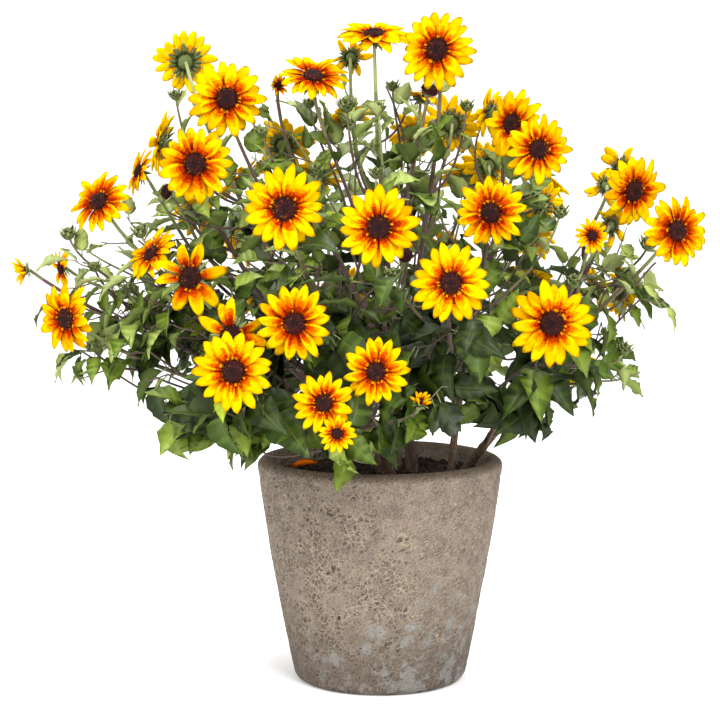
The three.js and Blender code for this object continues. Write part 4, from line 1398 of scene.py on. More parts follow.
@dataclass
class Limbs:
    """A stem and its boughs in one mesh, ribbed and knotted."""

    plan: StemPlan
    sides: int = 14
    stem_rings: int = 64
    bough_rings: int = 26
    rib_height: float = 0.05
    knot_height: float = 0.13
    knot_rings: float = 13.0
    knot_width: float = 0.09
    sinking: float = 12.0

    def tube(self, line: Line, radius: Array, seed: float) -> Array:
        """A tube whose radius swells at knots and along ribs: one plus sines of its angle and length.

        Args:
            line: its centre line.
            radius: its radius at each ring.
            seed: turns its ribs.

        Returns:
            The points, as (1, rings, sides, 3).
        """
        rings = len(radius)
        share = np.linspace(0, 1, rings)
        path = line.at(share)[None]
        ribs = 1 + self.rib_height * np.sin(4 * circle(self.sides)[None] + 5 * share[:, None] + seed)
        off = np.modf(share * rings / self.knot_rings + 0.5)[0] - 0.5
        knots = 1 + self.knot_height * np.exp(-((off / self.knot_width) ** 2))
        return tube_points(path, (radius * knots)[None], self.sides, ribs[None])

    def build(self) -> Any:
        """Sweeps the stem, with its root flare, and each bough into one piece.

        Returns:
            The piece.
        """
        heap = Heap(f"bark_{self.plan.name.removesuffix('_stem')}", "stem", (Bark(),))
        share = np.linspace(0, 1, self.stem_rings)
        flare = 1 + FLARE * np.exp(-share / FLARE_SHARE)
        radius = self.plan.radius * (1 - STEM_TAPER * share) * flare
        jobs = [(stem_line(self.plan), radius)]
        thin = np.linspace(BOUGH_FOOT_RADIUS, BOUGH_TIP_RADIUS, self.bough_rings)
        jobs += [(bough_line(self.plan, bough), thin) for bough in self.plan.boughs]
        for n, (line, thickness) in enumerate(jobs):
            points = self.tube(line, thickness, n)
            points[..., 2] = np.maximum(points[..., 2], SOIL_TOP - self.sinking)
            heap.tube(points)
        return heap.piece([self.plan.name, *(f"{bough.name}_bough" for bough in self.plan.boughs)])


@dataclass
class Leaves:
    """Leaves of a part of the plant, with their leaf stalks. Lengths are in millimetres.

    Commonness, growth and end growth are each a share at the crown's top and what comes to it low down.
    Mean tone and highest tone are each a tone low down, what height adds and what the crown's sides add.
    What height and the sides add is painted light, for where the crown is lit; painted shade inside darkens
    leaves deep in the crown.
    """

    length: float = 84.0
    end_length: float = 52.0
    sizes: tuple[float, float] = (0.55, 1.22)
    breadth: float = 0.57
    thickness: float = 0.35
    stalk_share: float = 0.22
    stalk_radius: float = 0.8
    swell: float = 0.42
    taper: float = 1.22
    teeth: float = 0.036
    waviness: float = 0.035
    quilting: float = 0.02
    sweep: float = 0.6
    droop: tuple[float, float] = (0.25, 1.2)
    fold: tuple[float, float] = (0.1, 0.55)
    twist: float = 1.8
    bend: float = 0.5
    spacing: float = 16.0
    twiglet_spacing: float = 42.0
    twiglet_leaves: float = 8.5
    twiglet_lengths: tuple[float, float] = (22.0, 42.0)
    twiglet_radii: tuple[float, float] = (0.9, 0.6)
    twig_mesh: tuple[int, int] = (7, 16)
    twiglet_mesh: tuple[int, int] = (5, 4)
    highest: float = 690.0
    commonness: tuple[float, float] = (0.25, 0.59)
    fewer_outside: float = 0.45
    fewer_left: float = 0.3
    growth: tuple[float, float] = (0.48, 0.52)
    end_growth: tuple[float, float] = (0.7, 0.3)
    smaller_outside: float = 0.22
    smaller_at_rim: float = 0.35
    rising: float = 0.2
    sinking_low: float = 1.3
    sinking_outside: float = 0.5
    clearance: float = 4.0
    behind_bloom: float = 6.0
    beside_bloom: float = 2.0
    mean_tone: tuple[float, float, float] = (4.3, 3.2, 2.5)
    highest_tone: tuple[float, float, float] = (5.6, 2.1, 2.2)
    painted_shade_inside: float = 4.4
    darker_large: float = 2.5
    tone_spread: float = 2.5
    less_spread_large: float = 0.8
    tries: int = 5
    shrinking: float = 0.1
    end_straying: float = 0.1
    straying: float = 0.02
    stray_drop: float = 24.0
    trail_drop: float = 44.0
    trail_below: float = 300.0
    trail_right_of: float = -100.0
    ailing: float = 0.05
    spotting: float = 0.4
    grid: Sheet = Sheet(len(LEAF_ROWS), len(LEAF_COLUMNS))

    def places(self, twig: Twig, spacing: float) -> Array:
        """Shares along a twig, evenly spaced over its leafy span up to its end.

        Args:
            twig: the twig.
            spacing: the distance between them.

        Returns:
            The shares.
        """
        low, high = twig.leafy
        count = max(1, round((high - low) * twig.line.length() / spacing))
        return low + (high - low) * (np.arange(count) + 1) / count

    def twiglets(self, twig: Twig, rng: np.random.Generator) -> list[Twig]:
        """Short side twigs that leave a twig at wide angles, keep above the hem and thin out at the top.

        Args:
            twig: what they leave.
            rng: the draws.

        Returns:
            The twiglets.
        """
        found = []
        for share in self.places(twig, self.twiglet_spacing):
            point, way = twig.line.at(share), twig.line.tangent(share)
            turned = around(way, rng.uniform(0, 2 * np.pi))
            out = mix((turned, 0.8), (unit(point - CROWN_CENTRE), 0.5), (way, 0.4))
            end = point + out * rng.uniform(*self.twiglet_lengths)
            if end[2] > skirt(end) and rng.uniform() > 0.75 * smooth(point[2], 540.0, 660.0):
                line = stalk(point, out, end, mix((out, 1), (UP, -0.5)))
                found.append(Twig(line, *self.twiglet_radii, (0.2, 1.0), False))
        return found

    def blades(self, root: Array, blade: Array, normal: Array, length: Array, shape: Array) -> Array:
        """The leaves' surfaces: a rounded foot and drawn-out tip, bent down along an arc, folded at the rib
        and quilted between the side veins, which run forward to the toothed margin.

        Args:
            root: where each begins.
            blade: the way each sets out.
            normal: the way its face looks.
            length: its length.
            shape: four numbers from 0 to 1 each, for droop, fold, twist and sideways bend.

        Returns:
            (N, rows, cols, 3) places.
        """
        t, v = LEAF_ROWS, LEAF_COLUMNS
        peak = self.swell / (self.swell + self.taper)
        outline = (t**self.swell * (1 - t) ** self.taper) / (peak**self.swell * (1 - peak) ** self.taper)
        turns = np.cos(np.pi * np.arange(self.grid.rows))
        outline = outline * (1 + self.teeth * turns)
        droop = (self.droop[0] + self.droop[1] * shape[:, 0] * (0.4 + 0.6 * hanging(root)))[:, None]
        fold = (self.fold[0] + self.fold[1] * shape[:, 1])[:, None, None]
        across = unit(np.cross(blade, normal))
        onward = length[:, None] * np.sin(droop * t) / droop
        sunk = length[:, None] * (1 - np.cos(droop * t)) / droop
        half = (length[:, None] * self.breadth / 2 * outline)[..., None] * v
        twist = ((shape[:, 2] - 0.5)[:, None] * self.twist * t)[..., None]
        size = length[:, None, None]
        wave = size * self.waviness * np.sin(t * 12.0 + shape[:, :1] * 6)[..., None] * v * np.abs(v)
        bend = size[..., 0] * self.bend * (shape[:, 3:] - 0.5) * t**2
        quilt = size * self.quilting * turns[:, None] * v**2 * np.sin(np.pi * t)[:, None]
        swept = size * self.sweep * v**2 * (t * (1 - t) ** 2)[:, None]
        rise = np.abs(half) * np.sin(fold) + half * np.sin(twist) + wave + quilt
        onward, sideways = onward[..., None] + swept, half * np.cos(fold) + bend[..., None]
        return laid(root, (blade, onward), (across, sideways), (normal, rise - sunk[..., None]))

    def fits(self, surface: Array, slack: Array, mass: Mass, blooms: Sequence[Bloom]) -> Array:
        """Which leaves keep to the mass's reach, off the pot and out of the bloom faces' view.

        Args:
            surface: (N, rows, cols, 3) places.
            slack: how far below the hem each may hang.
            mass: the mass they belong to.
            blooms: every bloom of the plant.

        Returns:
            True for each that does.
        """
        p = surface[:, ::2][:, :, [0, 1, 3]].reshape(len(surface), -1, 3)
        ok = (p @ mass.outward < mass.reach) & (p[..., 2] < mass.top) & (p[..., 2] > mass.bottom)
        ok &= (p > BOX[0]).all(axis=-1) & (p < BOX[1]).all(axis=-1)
        away = np.hypot(p[..., 0], p[..., 1])
        room = self.clearance
        beside = away > pot_radius(np.maximum(p[..., 2], 0)) + room
        inside = (p[..., 2] > SOIL_TOP + room) & (away < pot_radius(p[..., 2]) - WALL - room)
        ok &= (p[..., 2] > POT_HEIGHT + room) | beside | inside
        ok &= (p[..., 2] > skirt(p) - slack[:, None]) | inside
        for bloom in blooms:
            step = p - bloom.centre
            ahead = step @ bloom.faces
            aside = np.linalg.norm(step - ahead[..., None] * bloom.faces, axis=-1)
            clear = aside > bloom.across / 2 + self.beside_bloom
            ok &= (ahead < -self.behind_bloom) | (ahead > VIEW_DEPTH) | clear
        return ok.all(axis=1)

    def habit(self, root: Array, ends: Array, rng: np.random.Generator) -> tuple[Array, ...]:
        """How the leaf at each place grows. Leaves are most and largest low down, and fewer far out at the
        sides. The ones at twig ends are small, and some may hang below the hem.

        Args:
            root: the places.
            ends: which of them are the ends of twigs.
            rng: the draws.

        Returns:
            Whether there is a leaf, its length, its turn round its twig, its four shape numbers, how far up
            it sets out and how far below the hem it may reach.
        """
        count = len(root)
        low, outer = hanging(root), outlying(root)
        far_left = smooth(-root[:, 0], 190.0, 240.0) * low
        share = self.commonness[0] + self.commonness[1] * low
        share = share * (1.0 - self.fewer_outside * outer) * (1.0 - self.fewer_left * far_left)
        wanted = (rng.uniform(0, 1, count) < share) & (root[:, 2] < self.highest)
        rim = smooth(-root[:, 1], 60.0, 120.0) * smooth(-np.abs(root[:, 0]), -160.0, -120.0)
        rim = rim * smooth(-root[:, 2], -360.0, -310.0)
        grown = self.length * (self.growth[0] + self.growth[1] * low**1.5)
        grown = grown * (1.0 - self.smaller_outside * outer) * (1.0 - self.smaller_at_rim * rim)
        small = self.end_length * (self.end_growth[0] + self.end_growth[1] * low)
        size = rng.uniform(*self.sizes, count) * np.where(ends, small, grown)
        turn = rng.uniform(0, 6.28) + GOLDEN_ANGLE * np.arange(count)
        shape = rng.uniform(0, 1, (count, 4))
        sinking = self.sinking_low * low + self.sinking_outside * outer
        hang = self.rising - sinking * rng.uniform(0.35, 1.1, count)
        stray = rng.uniform(0, 1, count) < np.where(ends, self.end_straying, self.straying)
        trails = ends & (root[:, 2] < self.trail_below) & (root[:, 0] > self.trail_right_of)
        slack = np.where(trails, self.trail_drop, np.where(stray, self.stray_drop, 0.0))
        return wanted, size, turn, shape, hang, slack

    def build(
        self, mass: Mass, heap: Heap, twigs: Heap, blooms: Sequence[Bloom], rng: np.random.Generator
    ) -> None:
        """Puts a leaf at each place, at the first of a few turns that leaves it room.

        Args:
            mass: the mass to clothe.
            heap: takes the leaves.
            twigs: takes the twigs and leaf stalks.
            blooms: every bloom of the plant.
            rng: the draws.
        """
        short = [twiglet for twig in mass.twigs for twiglet in self.twiglets(twig, rng)]
        bearers = mass.twigs + short
        spacing = [self.spacing] * len(mass.twigs) + [self.twiglet_leaves] * len(short)
        shares = [self.places(twig, gap) for twig, gap in zip(bearers, spacing)]
        bearer = np.repeat(np.arange(len(bearers)), [len(share) for share in shares])
        root = np.concatenate([twig.line.at(share) for twig, share in zip(bearers, shares)])
        along = np.concatenate([twig.line.tangent(share) for twig, share in zip(bearers, shares)])
        ends = np.concatenate(shares) > 0.99
        leafy = np.array([twig.flowering for twig in bearers])
        outward = unit(root - CROWN_CENTRE)
        upright = np.broadcast_to(UP, along.shape)
        wanted, size, turn, shape, hang, slack = self.habit(root, ends, rng)
        for attempt in range(self.tries):
            spread = np.where(ends, 0.35, 0.8)
            blade = mix((around(along, turn), spread), (outward, 0.4), (along, 0.3), (UP, hang))
            normal = mix((UP, 0.5), (outward, 0.7), (around(upright, turn), 0.6))
            normal = unit(normal - blade * np.sum(normal * blade, -1, keepdims=True))
            length = size * (1 - self.shrinking * attempt)
            foot = root + blade * (length * self.stalk_share)[:, None]
            surface = self.blades(foot, blade, normal, length, shape)
            good = wanted & self.fits(surface, slack, mass, blooms)
            leafy[bearer[good]] = True
            if good.any():
                self.dress(surface[good], root[good], heap, twigs, rng)
            wanted &= ~good
            turn = turn + GOLDEN_ANGLE
        for n in np.flatnonzero(leafy):
            add_twig(twigs, bearers[n], *(self.twig_mesh if n < len(mass.twigs) else self.twiglet_mesh))

    def tones(self, surface: Array, root: Array, rng: np.random.Generator) -> Array:
        """A tone for each leaf: a normal draw, with painted light that makes it lighter high up and far
        out, painted shade that makes it darker deep inside, darker on large leaves, and now and then the
        ripe one.

        Args:
            surface: (N, rows, cols, 3) places.
            root: where each leaf stalk begins.
            rng: the draws.

        Returns:
            Numbers of leaf tones, as (N, 1).
        """
        # Painted light: leaves are lighter high up, where the crown is lit, and far out at its lit sides.
        # Painted shade: they are darker deep inside the crown.
        height = smooth(root[:, 2], 360.0, 640.0)
        depth = np.clip(1 - np.linalg.norm(root - CROWN_CENTRE, axis=1) / 330.0, 0, 1)
        outer = outlying(root)
        lit = 0.35 + 0.65 * smooth(root[:, 2], 340.0, 460.0)
        large = smooth(np.linalg.norm(surface[:, -1, 1] - surface[:, 0, 1], axis=-1), 34.0, 66.0)
        base, high, aside = self.mean_tone
        mean = base + high * height + aside * outer * lit - self.painted_shade_inside * depth
        mean = mean - self.darker_large * large
        base, high, aside = self.highest_tone
        most = base + high * height + aside * outer * lit
        level = np.minimum(rng.normal(mean, self.tone_spread - self.less_spread_large * large), most)
        tone = np.clip(np.round(level), 0, YELLOWED - 1).astype(int)
        ripe = rng.uniform(0, 1, len(root)) < 0.006 + 0.05 * smooth(-root[:, 2], -340.0, -300.0)
        return np.where(ripe, YELLOWED, tone)[:, None]

    def dress(
        self, surface: Array, root: Array, heap: Heap, twigs: Heap, rng: np.random.Generator
    ) -> None:
        """Deals out the leaf colours, with paler ribs and back, banded with painted light and shade on the
        quilting between the side veins, mottled by face, and adds the leaf stalks.

        Args:
            surface: (N, rows, cols, 3) places.
            root: where each leaf stalk begins.
            heap: takes the leaves.
            twigs: takes the leaf stalks.
            rng: the draws.
        """
        count = len(surface)
        tone = self.tones(surface, root, rng)
        rows, cols = self.grid.rows - 1, self.grid.cols - 1
        rib = np.broadcast_to(np.arange(cols) == cols // 2, (rows, cols)).reshape(-1)
        # Painted light and shade: every other row between the side veins is made a tone lighter, for the
        # quilting's relief.
        painted_quilt_light = np.repeat(np.arange(rows) % 2, cols)
        mottled = rng.choice((-1, 0, 0, 0), (count, rows * cols))
        mottled = mottled + painted_quilt_light * rng.choice((0, 1, 1), (count, 1))
        field = np.where(tone < YELLOWED, np.clip(tone + mottled, 0, YELLOWED - 1), tone)
        front, back = np.where(rib, tone + RIB, field), np.where(rib, tone + RIB, tone + UNDER)
        tip = np.repeat(np.arange(rows) > rows * 0.5, cols)
        speck = rng.uniform(0, 1, front.shape)
        ails = rng.uniform(0, 1, count) < self.ailing
        spotted = speck < np.where(ails, self.spotting, 0.0)[:, None] * tip
        front = np.where(spotted & ~rib, SPOT, front)
        shades = np.concatenate([front, back], 1)
        heap.sheets(self.grid, surface, self.thickness, shades)
        path = root[:, None] + (surface[:, 0, 1] - root)[:, None] * np.linspace(0, 1, 3)[:, None]
        twigs.tube(tube_points(path, np.full((count, 3), self.stalk_radius), 3), 2, 2)


def add_twig(heap: Heap, twig: Twig, sides: int, rings: int) -> None:
    """Sweeps a twig: brown at its foot and low down, and green and downy towards what it carries.

    Args:
        heap: takes it.
        twig: its line and radii.
        sides: points in each ring.
        rings: rings along it.
    """
    share = np.linspace(0, 1, rings)
    path = twig.line.at(share)[None]
    downy, greening = FLOWERING_TWIG if twig.flowering else LEAFY_TWIG
    down = 1.0 + downy * smooth(share, 0.0, 0.3)
    radii = (twig.foot + (twig.tip - twig.foot) * share) * down
    middle = (share[:-1] + share[1:]) / 2
    green = middle * greening + (path[0, :-1, 2] - GREEN_FROM) / GREEN_RANGE
    green = green - (BROWNER if chance(path[0, -1, 0], path[0, -1, 2]) < BROWNER_SHARE else 0.0)
    shade = np.clip(np.floor(green), 0, 3).astype(int)
    heap.tube(tube_points(path, radii[None], sides), np.repeat(shade, sides), int(shade[-1]))


@dataclass
class BloomMaker:
    """Petals, disc and calyx of a bloom, and buds."""

    grid: Sheet = Sheet(len(PETAL_EDGES), len(PETAL_COLUMNS))
    bract_grid: Sheet = Sheet(5, 3)
    petal_breadth: float = 0.325
    petal_thickness: float = 0.45
    petal_sag: tuple[float, float] = (0.02, 0.26)
    bract_thickness: float = 0.5
    scale_lengths: tuple[float, float] = (0.15, 0.24)
    scale_breadth: float = 0.07
    bud_scale_lengths: tuple[float, float] = (0.7, 1.15)
    bud_scale_breadth: float = 0.5
    florets: int = 110
    floret_breadth: float = 0.105
    floret_heights: tuple[float, float] = (1.0, 2.1)
    floret_tones: tuple[float, float] = (0.35, 0.04)
    scales: int = 18
    bud_scales: int = 21

    def rays(self, along: Array, angle: Array) -> Array:
        """Directions square to an axis at angles round it: cosine of one side and sine of the other."""
        side, other = square_to(along)
        return side * np.cos(angle)[:, None] + -other * np.sin(angle)[:, None]

    def turned(self, centre: Array, along: Array, radii: Array, heights: Array, sides: int) -> Array:
        """Rings turned about an axis.

        Args:
            centre: the axis's foot.
            along: its direction.
            radii: each ring's radius.
            heights: how far along the axis each is.
            sides: points in each ring.

        Returns:
            The points, as (1, rings, sides, 3).
        """
        ray = self.rays(along, circle(sides))
        return (centre + ray[None] * radii[:, None, None] + along * heights[:, None, None])[None]

    def petals(self, bloom: Bloom, heap: Heap, rng: np.random.Generator) -> None:
        """Two rows of petals. Each is a strip along a ray, wide in the middle, blunt and notched at its
        tip, grooved along it and sagging by the square of its length.

        Args:
            bloom: the bloom.
            heap: takes them.
            rng: the draws.
        """
        radius, opened = bloom.across / 2, bloom.kind is Kind.OPEN
        count = PETAL_COUNTS.get(bloom.kind, int(13 + bloom.across / 16))
        if not count:
            return
        behind = np.arange(count) % 2
        angle = (np.arange(count) + rng.uniform(-0.22, 0.22, count)) * 2 * np.pi / count
        angle = angle + rng.uniform(0, 6.28)
        if bloom.kind is Kind.FEW:
            angle = angle + rng.uniform(-0.35, 0.35, count)
        ray = self.rays(bloom.faces, angle)
        lift = PETAL_LEANS[bloom.kind] - 0.12 * behind + rng.normal(0, 0.08 if opened else 0.2, count)
        sag = rng.uniform(*self.petal_sag, count)
        out = ray * np.cos(lift)[:, None] + bloom.faces * np.sin(lift)[:, None]
        across = unit(np.cross(ray, bloom.faces))
        roll = rng.normal(0, 0.16 if opened else 0.5, count)[:, None]
        face = np.cross(across, out)
        cos, sin = np.cos(roll), np.sin(roll)
        across, face = across * cos + face * sin, face * cos - across * sin
        start = bloom.disc * 0.84
        full = radius * rng.uniform(0.9, 1.06, count) - start
        edges = PETAL_EDGES.copy()
        edges[0] = start / radius
        v = PETAL_COLUMNS
        jitter = rng.uniform(-1, 1, (count, len(edges), len(v))) * PETAL_JITTER
        s = (edges[:, None] + PETAL_TONGUE * (0.5 - np.abs(v)) + jitter - edges[0]) / (1 - edges[0])
        s[:, -1] -= PETAL_NOTCH
        body = 0.42 + 0.58 * np.sin(np.pi / 2 * np.clip(s / 0.5, 0, 1))
        point = 1 - 0.8 * np.clip((s - 0.45) / 0.55, 0, 1) ** 2.6
        breadth = radius * self.petal_breadth * rng.uniform(0.86, 1.1, count)
        breadth = breadth * (1.0 if count > 10 else 1.15)
        half = breadth[:, None, None] / 2 * body * point * v
        groove = radius * 0.016 * np.cos(2 * np.pi * v) * np.sin(np.pi * s)
        bend = -sag[:, None, None] * radius * s**2 + groove + 0.22 * np.abs(half) * np.abs(v)
        foot = bloom.centre + ray * start + bloom.faces * (1.6 - 1.3 * behind)[:, None]
        surface = laid(foot, (out, s * full[:, None, None]), (across, half), (face, bend))
        heap.sheets(self.grid, surface, self.petal_thickness, self.shades(count, rng))

    def shades(self, count: int, rng: np.random.Generator) -> Array:
        """A colour for each face: a place on the ramp by its radius, moved a little for each petal, strip
        and face, and outwards at the margins. The ring is wider in some blooms.

        Args:
            count: how many petals the bloom has.
            rng: the draws.

        Returns:
            Numbers of petal tones, as (count, faces).
        """
        middle = (PETAL_EDGES[1:] + PETAL_EDGES[:-1]) / 2
        level = np.interp(0.29 + (middle - 0.29) * rng.uniform(0.78, 1.3), RING_AT, RING_LEVELS)
        strips = self.grid.cols - 1
        shape = (count, len(middle), strips)
        moved = (level[:, None] + np.array([0.9, -0.2, -0.2, 0.9]) + rng.normal(0, 0.5, (count, 1, 1))
                 + rng.normal(0, 0.7, (count, 1, strips)) + rng.uniform(-0.6, 0.6, shape))
        warmth = np.abs(rng.normal(0, 0.7, (count, 1, 1)))
        moved = np.where(level[:, None] > 7.5, level[:, None] - warmth, moved)
        front = PetalTone.DEEP + np.clip(np.rint(moved), 0, len(PETAL_RAMP) - 1).astype(int)
        tooth = (rng.uniform(0, 1, shape) < 0.25) & (np.arange(len(middle)) < 1)[:, None]
        front = np.where(tooth, PetalTone.TOOTH, front)
        behind = np.where(np.arange(len(middle)) < 3, PetalTone.BACK_FOOT, PetalTone.BACK)
        back = np.broadcast_to(behind[:, None], shape)
        return np.concatenate([front.reshape(count, -1), back.reshape(count, -1)], axis=1)

    def fallen(self, at: Array, heap: Heap) -> None:
        """A dropped petal that lies curled on the soil: a strip along an arc, widest at its middle.

        Args:
            at: its foot.
            heap: takes it.
        """
        t, v = np.linspace(0, 1, self.bract_grid.rows)[:, None], np.array([-1.0, 0.0, 1.0])
        along, across = np.array([0.97, 0.2, 0.1]), np.array([-0.2, 0.9, 0.38])
        half = 6.5 * np.sin(np.pi * (0.1 + 0.85 * t)) * v
        arch = 16.0 * t * (1 - t)
        surface = at + along * (34.0 * t)[..., None] + across * half[..., None] + UP * arch[..., None]
        heap.sheets(self.bract_grid, surface[None], self.bract_thickness, PetalTone.DEEP + 4)

    def dome(self, bloom: Bloom, share: Array) -> Array:
        """The disc's height at a share of its radius: a low dome with a dimple."""
        return bloom.disc * (0.42 * (1 - share**2) - 0.16 * np.exp(-((share / 0.3) ** 2))) + 2.2

    def disc(self, bloom: Bloom, heap: Heap, rng: np.random.Generator) -> None:
        """A domed cushion and, on it, florets in a spiral: four-sided points a golden angle apart.

        Args:
            bloom: the bloom.
            heap: takes them.
            rng: the draws.
        """
        share = np.array([0.6, 1.0, 0.8, 0.55, 0.3, 0.06])
        height = self.dome(bloom, share)
        height[:2] = -1.5, 0.6
        heap.tube(self.turned(bloom.centre, bloom.faces, share * bloom.disc, height, 14), 1)
        count = int(self.florets * min(1.0, bloom.disc / 12.0))
        near = np.sqrt((np.arange(count) + 0.5) / count) * 0.98
        way = self.rays(bloom.faces, np.arange(count) * GOLDEN_ANGLE)
        base = bloom.centre + way * (near * bloom.disc)[:, None]
        base = base + bloom.faces * self.dome(bloom, near)[:, None] - bloom.faces * 0.5
        up = mix((np.broadcast_to(bloom.faces, way.shape), 1), (way, 0.75 * near))
        a, b = square_to(up)
        a, b = a * bloom.disc * self.floret_breadth, b * bloom.disc * self.floret_breadth
        tall = rng.uniform(*self.floret_heights, count)[:, None]
        points = np.stack([base + a, base - b, base - a, base + b, base + up * tall], 1)
        rusty, dusted = self.floret_tones
        shade = np.where(near < 0.36, 0, np.where(rng.uniform(0, 1, count) < rusty, 2, 1))
        shade = np.where((rng.uniform(0, 1, count) < dusted) & (near > 0.5), 3, shade)[:, None]
        heap.add(points, (PYRAMID, shade), (np.array([[3, 2, 1, 0]]), shade))

    def bracts(
        self, foot: Array, out: Array, inner: Array, length: Array, width: float, heap: Heap
    ) -> None:
        """Pointed scales that set out one way and bend towards another.

        Args:
            foot: where each begins, (N, 3).
            out: the way each sets out.
            inner: the way its tip bends.
            length: its length, (N,).
            width: its breadth at the widest.
            heap: takes them.
        """
        t = np.linspace(0, 1, self.bract_grid.rows)
        v = np.array([-1.0, 0.0, 1.0])
        shape = np.array([0.75, 1.0, 0.82, 0.45, 0.06])
        along = foot[:, None] + out[:, None] * (length[:, None] * t)[..., None]
        along = along + inner[:, None] * (length[:, None] * 0.45 * t**2)[..., None]
        across = unit(np.cross(out, inner))
        half = (shape[:, None] * v * width / 2)[None, ..., None]
        surface = along[:, :, None] + across[:, None, None] * half
        bands = np.repeat(np.array([0, 1, 1, 3]), 2)
        shade = np.tile(np.concatenate([bands, np.minimum(bands + 1, 3)]), (len(foot), 1))
        heap.sheets(self.bract_grid, surface, self.bract_thickness, shade)

    def calyx(self, bloom: Bloom, heap: Heap, rng: np.random.Generator) -> None:
        """A green cup from stalk to disc, with two rows of scales that spread behind the petals.

        Args:
            bloom: the bloom.
            heap: takes it.
            rng: the draws.
        """
        deep = 0.06 * bloom.across + 2
        share = np.array([2.2 / bloom.disc, 0.55, 0.9, 1.0, 0.7])
        height = np.array([-deep, -0.75 * deep, -0.35 * deep, 0.4, 0.6])
        heap.tube(self.turned(bloom.centre, bloom.faces, share * bloom.disc, height, 12), 1, 1)
        count = self.scales
        way = self.rays(bloom.faces, circle(count) + rng.uniform(-0.1, 0.1, count))
        level = -0.5 * deep - 0.18 * deep * (np.arange(count) % 2)
        foot = bloom.centre + way * bloom.disc * 0.8 + bloom.faces * level[:, None]
        out = mix((way, 1), (bloom.faces, rng.uniform(-0.35, 0.25, count)))
        inner = np.broadcast_to(-bloom.faces, way.shape) * 0.3
        length = bloom.across * rng.uniform(*self.scale_lengths, count)
        self.bracts(foot, out, inner, length, bloom.across * self.scale_breadth, heap)

    def bud(self, centre: Array, along: Array, radius: float, heap: Heap, rng: np.random.Generator) -> None:
        """A round bud: an egg of rings, wrapped in a spiral of scales whose tips stand out.

        Args:
            centre: its middle.
            along: the way it points.
            radius: its radius over the scales.
            heap: takes it.
            rng: the draws.
        """
        polar = np.radians(np.array([172.0, 140.0, 105.0, 70.0, 38.0, 8.0]))
        reach = 0.95 * radius
        heap.tube(self.turned(centre, along, np.sin(polar) * reach, np.cos(polar) * reach, 10), 1, 1)
        count = self.bud_scales
        way = self.rays(along, np.arange(count) * GOLDEN_ANGLE)
        start = np.radians(np.linspace(128, 62, count))[:, None]
        foot = centre + way * np.sin(start) * reach + along * np.cos(start) * reach
        out = mix((way, 0.55), (np.broadcast_to(along, way.shape), 1.0))
        length = radius * rng.uniform(*self.bud_scale_lengths, count)
        inner = way * rng.uniform(-0.3, 0.6, (count, 1))
        self.bracts(foot, out, inner, length, radius * self.bud_scale_breadth, heap)


@dataclass
class Plant:
    """The whole plant: limbs, and the twigs, leaves and blooms of each stem's masses."""

    masses: list[tuple[StemPlan, list[Mass]]] = field(default_factory=list)
    shedding: str = "front_stem"

    def grow(self) -> None:
        """Grows the masses of every stem, in the solids' order, with their numbers as seeds."""
        seed = 0
        for stem in STEMS:
            found = []
            for bough in stem.boughs:
                seed += 1
                found.append(Mass(bough, bough_line(stem, bough), seed))
            self.masses.append((stem, found))

    def build(self, rng: np.random.Generator) -> None:
        """Makes one piece of each kind for each stem.

        Args:
            rng: the draws.
        """
        blooms = [bloom for _, masses in self.masses for mass in masses for bloom in mass.blooms]
        leaves, maker = Leaves(), BloomMaker()
        for stem, masses in self.masses:
            Limbs(stem).build()
            name = stem.name.removesuffix("_stem")
            heaps = {
                kind: Heap(f"{kind}_{name}", "foliage", finishes, flat=kind == "discs")
                for kind, finishes in FOLIAGE_FINISHES.items()
            }
            for mass in masses:
                leaves.build(mass, heaps["leaves"], heaps["twigs"], blooms, rng)
                for bloom in mass.blooms:
                    maker.petals(bloom, heaps["petals"], rng)
                    maker.disc(bloom, heaps["discs"], rng)
                    maker.calyx(bloom, heaps["calyces"], rng)
                for centre, along, radius in mass.buds:
                    maker.bud(centre, along, radius, heaps["calyces"], rng)
            if stem.name == self.shedding:
                maker.fallen(FALLEN_PETAL, heaps["petals"])
            for heap in heaps.values():
                heap.piece([mass.plan.name for mass in masses])


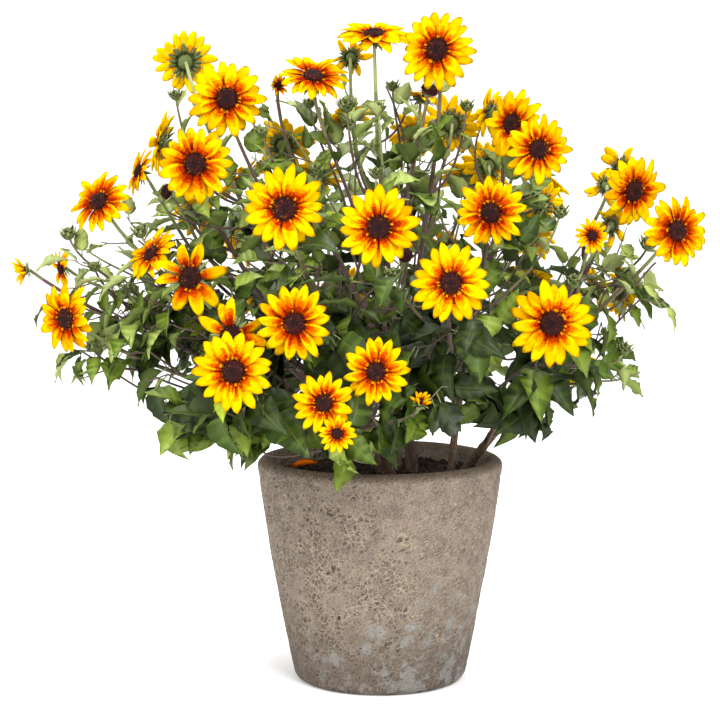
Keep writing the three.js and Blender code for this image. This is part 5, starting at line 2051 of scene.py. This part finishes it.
@dataclass
class Studio:
    """The pale floor that sweeps up behind, soft lights, and the camera at the photograph's view."""

    camera_at: tuple[float, float, float] = (-0.023, -2.25, 0.60)
    pitch: float = 5.87
    lens: float = 98.5
    sensor: float = 36.0
    sky: float = 0.9
    floor_front: float = -7.0
    floor_back: float = 3.0
    floor_half: float = 8.0
    sweep: float = 1.5
    wall_top: float = 7.0
    aim: tuple[float, float, float] = (0.0, 0.0, 0.4)
    lights: tuple = (
        ("key_light", (1.2, -2.6, 2.2), 1.6, 108.0), ("fill_light", (-2.2, -2.0, 1.3), 2.0, 66.0),
        ("top_light", (0.1, 0.7, 2.8), 2.0, 98.0),
    )

    def backdrop(self) -> None:
        """A white floor that turns up into a wall along a quarter circle."""
        bend = np.radians(np.linspace(0, 90, 20))
        sweep = np.stack([self.floor_back + self.sweep * np.sin(bend), self.sweep * (1 - np.cos(bend))], 1)
        wall = [[self.floor_back + self.sweep, self.wall_top]]
        line = np.concatenate([[[self.floor_front, 0.0]], sweep, wall])
        across = np.array([-1.0, 1.0]) * self.floor_half
        points = np.stack(np.broadcast_arrays(across[:, None], line[None, :, 0], line[None, :, 1]), -1)
        count = len(line)
        n = np.arange(count - 1)
        mesh = bpy.data.meshes.new("studio_floor")
        faces = np.stack([n, n + count, n + count + 1, n + 1], 1)
        mesh.from_pydata(points.reshape(-1, 3).tolist(), [], faces.tolist())
        mesh.polygons.foreach_set("use_smooth", np.full(count - 1, True))
        mesh.materials.append(Plain("studio_white", (250, 250, 250), 0.9, 0.0).material())
        floor = bpy.data.objects.new("studio_floor", mesh)
        bpy.context.scene.collection.objects.link(floor)

    def light(self, name: str, at: tuple, size: float, power: float) -> None:
        """A square soft light that looks at the middle of the plant.

        Args:
            name: its name.
            at: its place, in metres.
            size: its side.
            power: its power, in watts.
        """
        lamp = bpy.data.lights.new(name, "AREA")
        lamp.size, lamp.energy = size, power
        made = bpy.data.objects.new(name, lamp)
        made.location = at
        way = np.array(self.aim) - np.array(at)
        pan = np.arctan2(way[1], way[0]) - np.pi / 2
        made.rotation_euler = (np.arctan2(np.hypot(way[0], way[1]), -way[2]), 0.0, pan)
        bpy.context.scene.collection.objects.link(made)

    def build(self) -> None:
        """Sets floor, sky, lights and camera."""
        scene = bpy.context.scene
        self.backdrop()
        scene.world = bpy.data.worlds.new("studio_sky")
        scene.world.use_nodes = True
        sky = scene.world.node_tree.nodes["Background"]
        sky.inputs["Color"].default_value = (1.0, 1.0, 1.0, 1.0)
        sky.inputs["Strength"].default_value = self.sky
        for light in self.lights:
            self.light(*light)
        scene.view_settings.view_transform = "Standard"
        camera = bpy.data.objects.new("photo_camera", bpy.data.cameras.new("photo_camera"))
        camera.data.lens, camera.data.sensor_width = self.lens, self.sensor
        camera.location = self.camera_at
        camera.rotation_euler = (np.radians(90 - self.pitch), 0.0, 0.0)
        scene.collection.objects.link(camera)
        scene.camera = camera


def main() -> None:
    """Builds the pot, the soil, the plant and the studio."""
    logging.basicConfig(level=logging.INFO, format="%(name)s %(message)s")
    LOG.info("frame: %d CAD nodes", len(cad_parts))
    rng = np.random.default_rng(SEED)
    Studio().build()
    Pot().build()
    Soil().build(rng)
    plant = Plant()
    plant.grow()
    plant.build(rng)


if __name__ == "__main__":
    main()
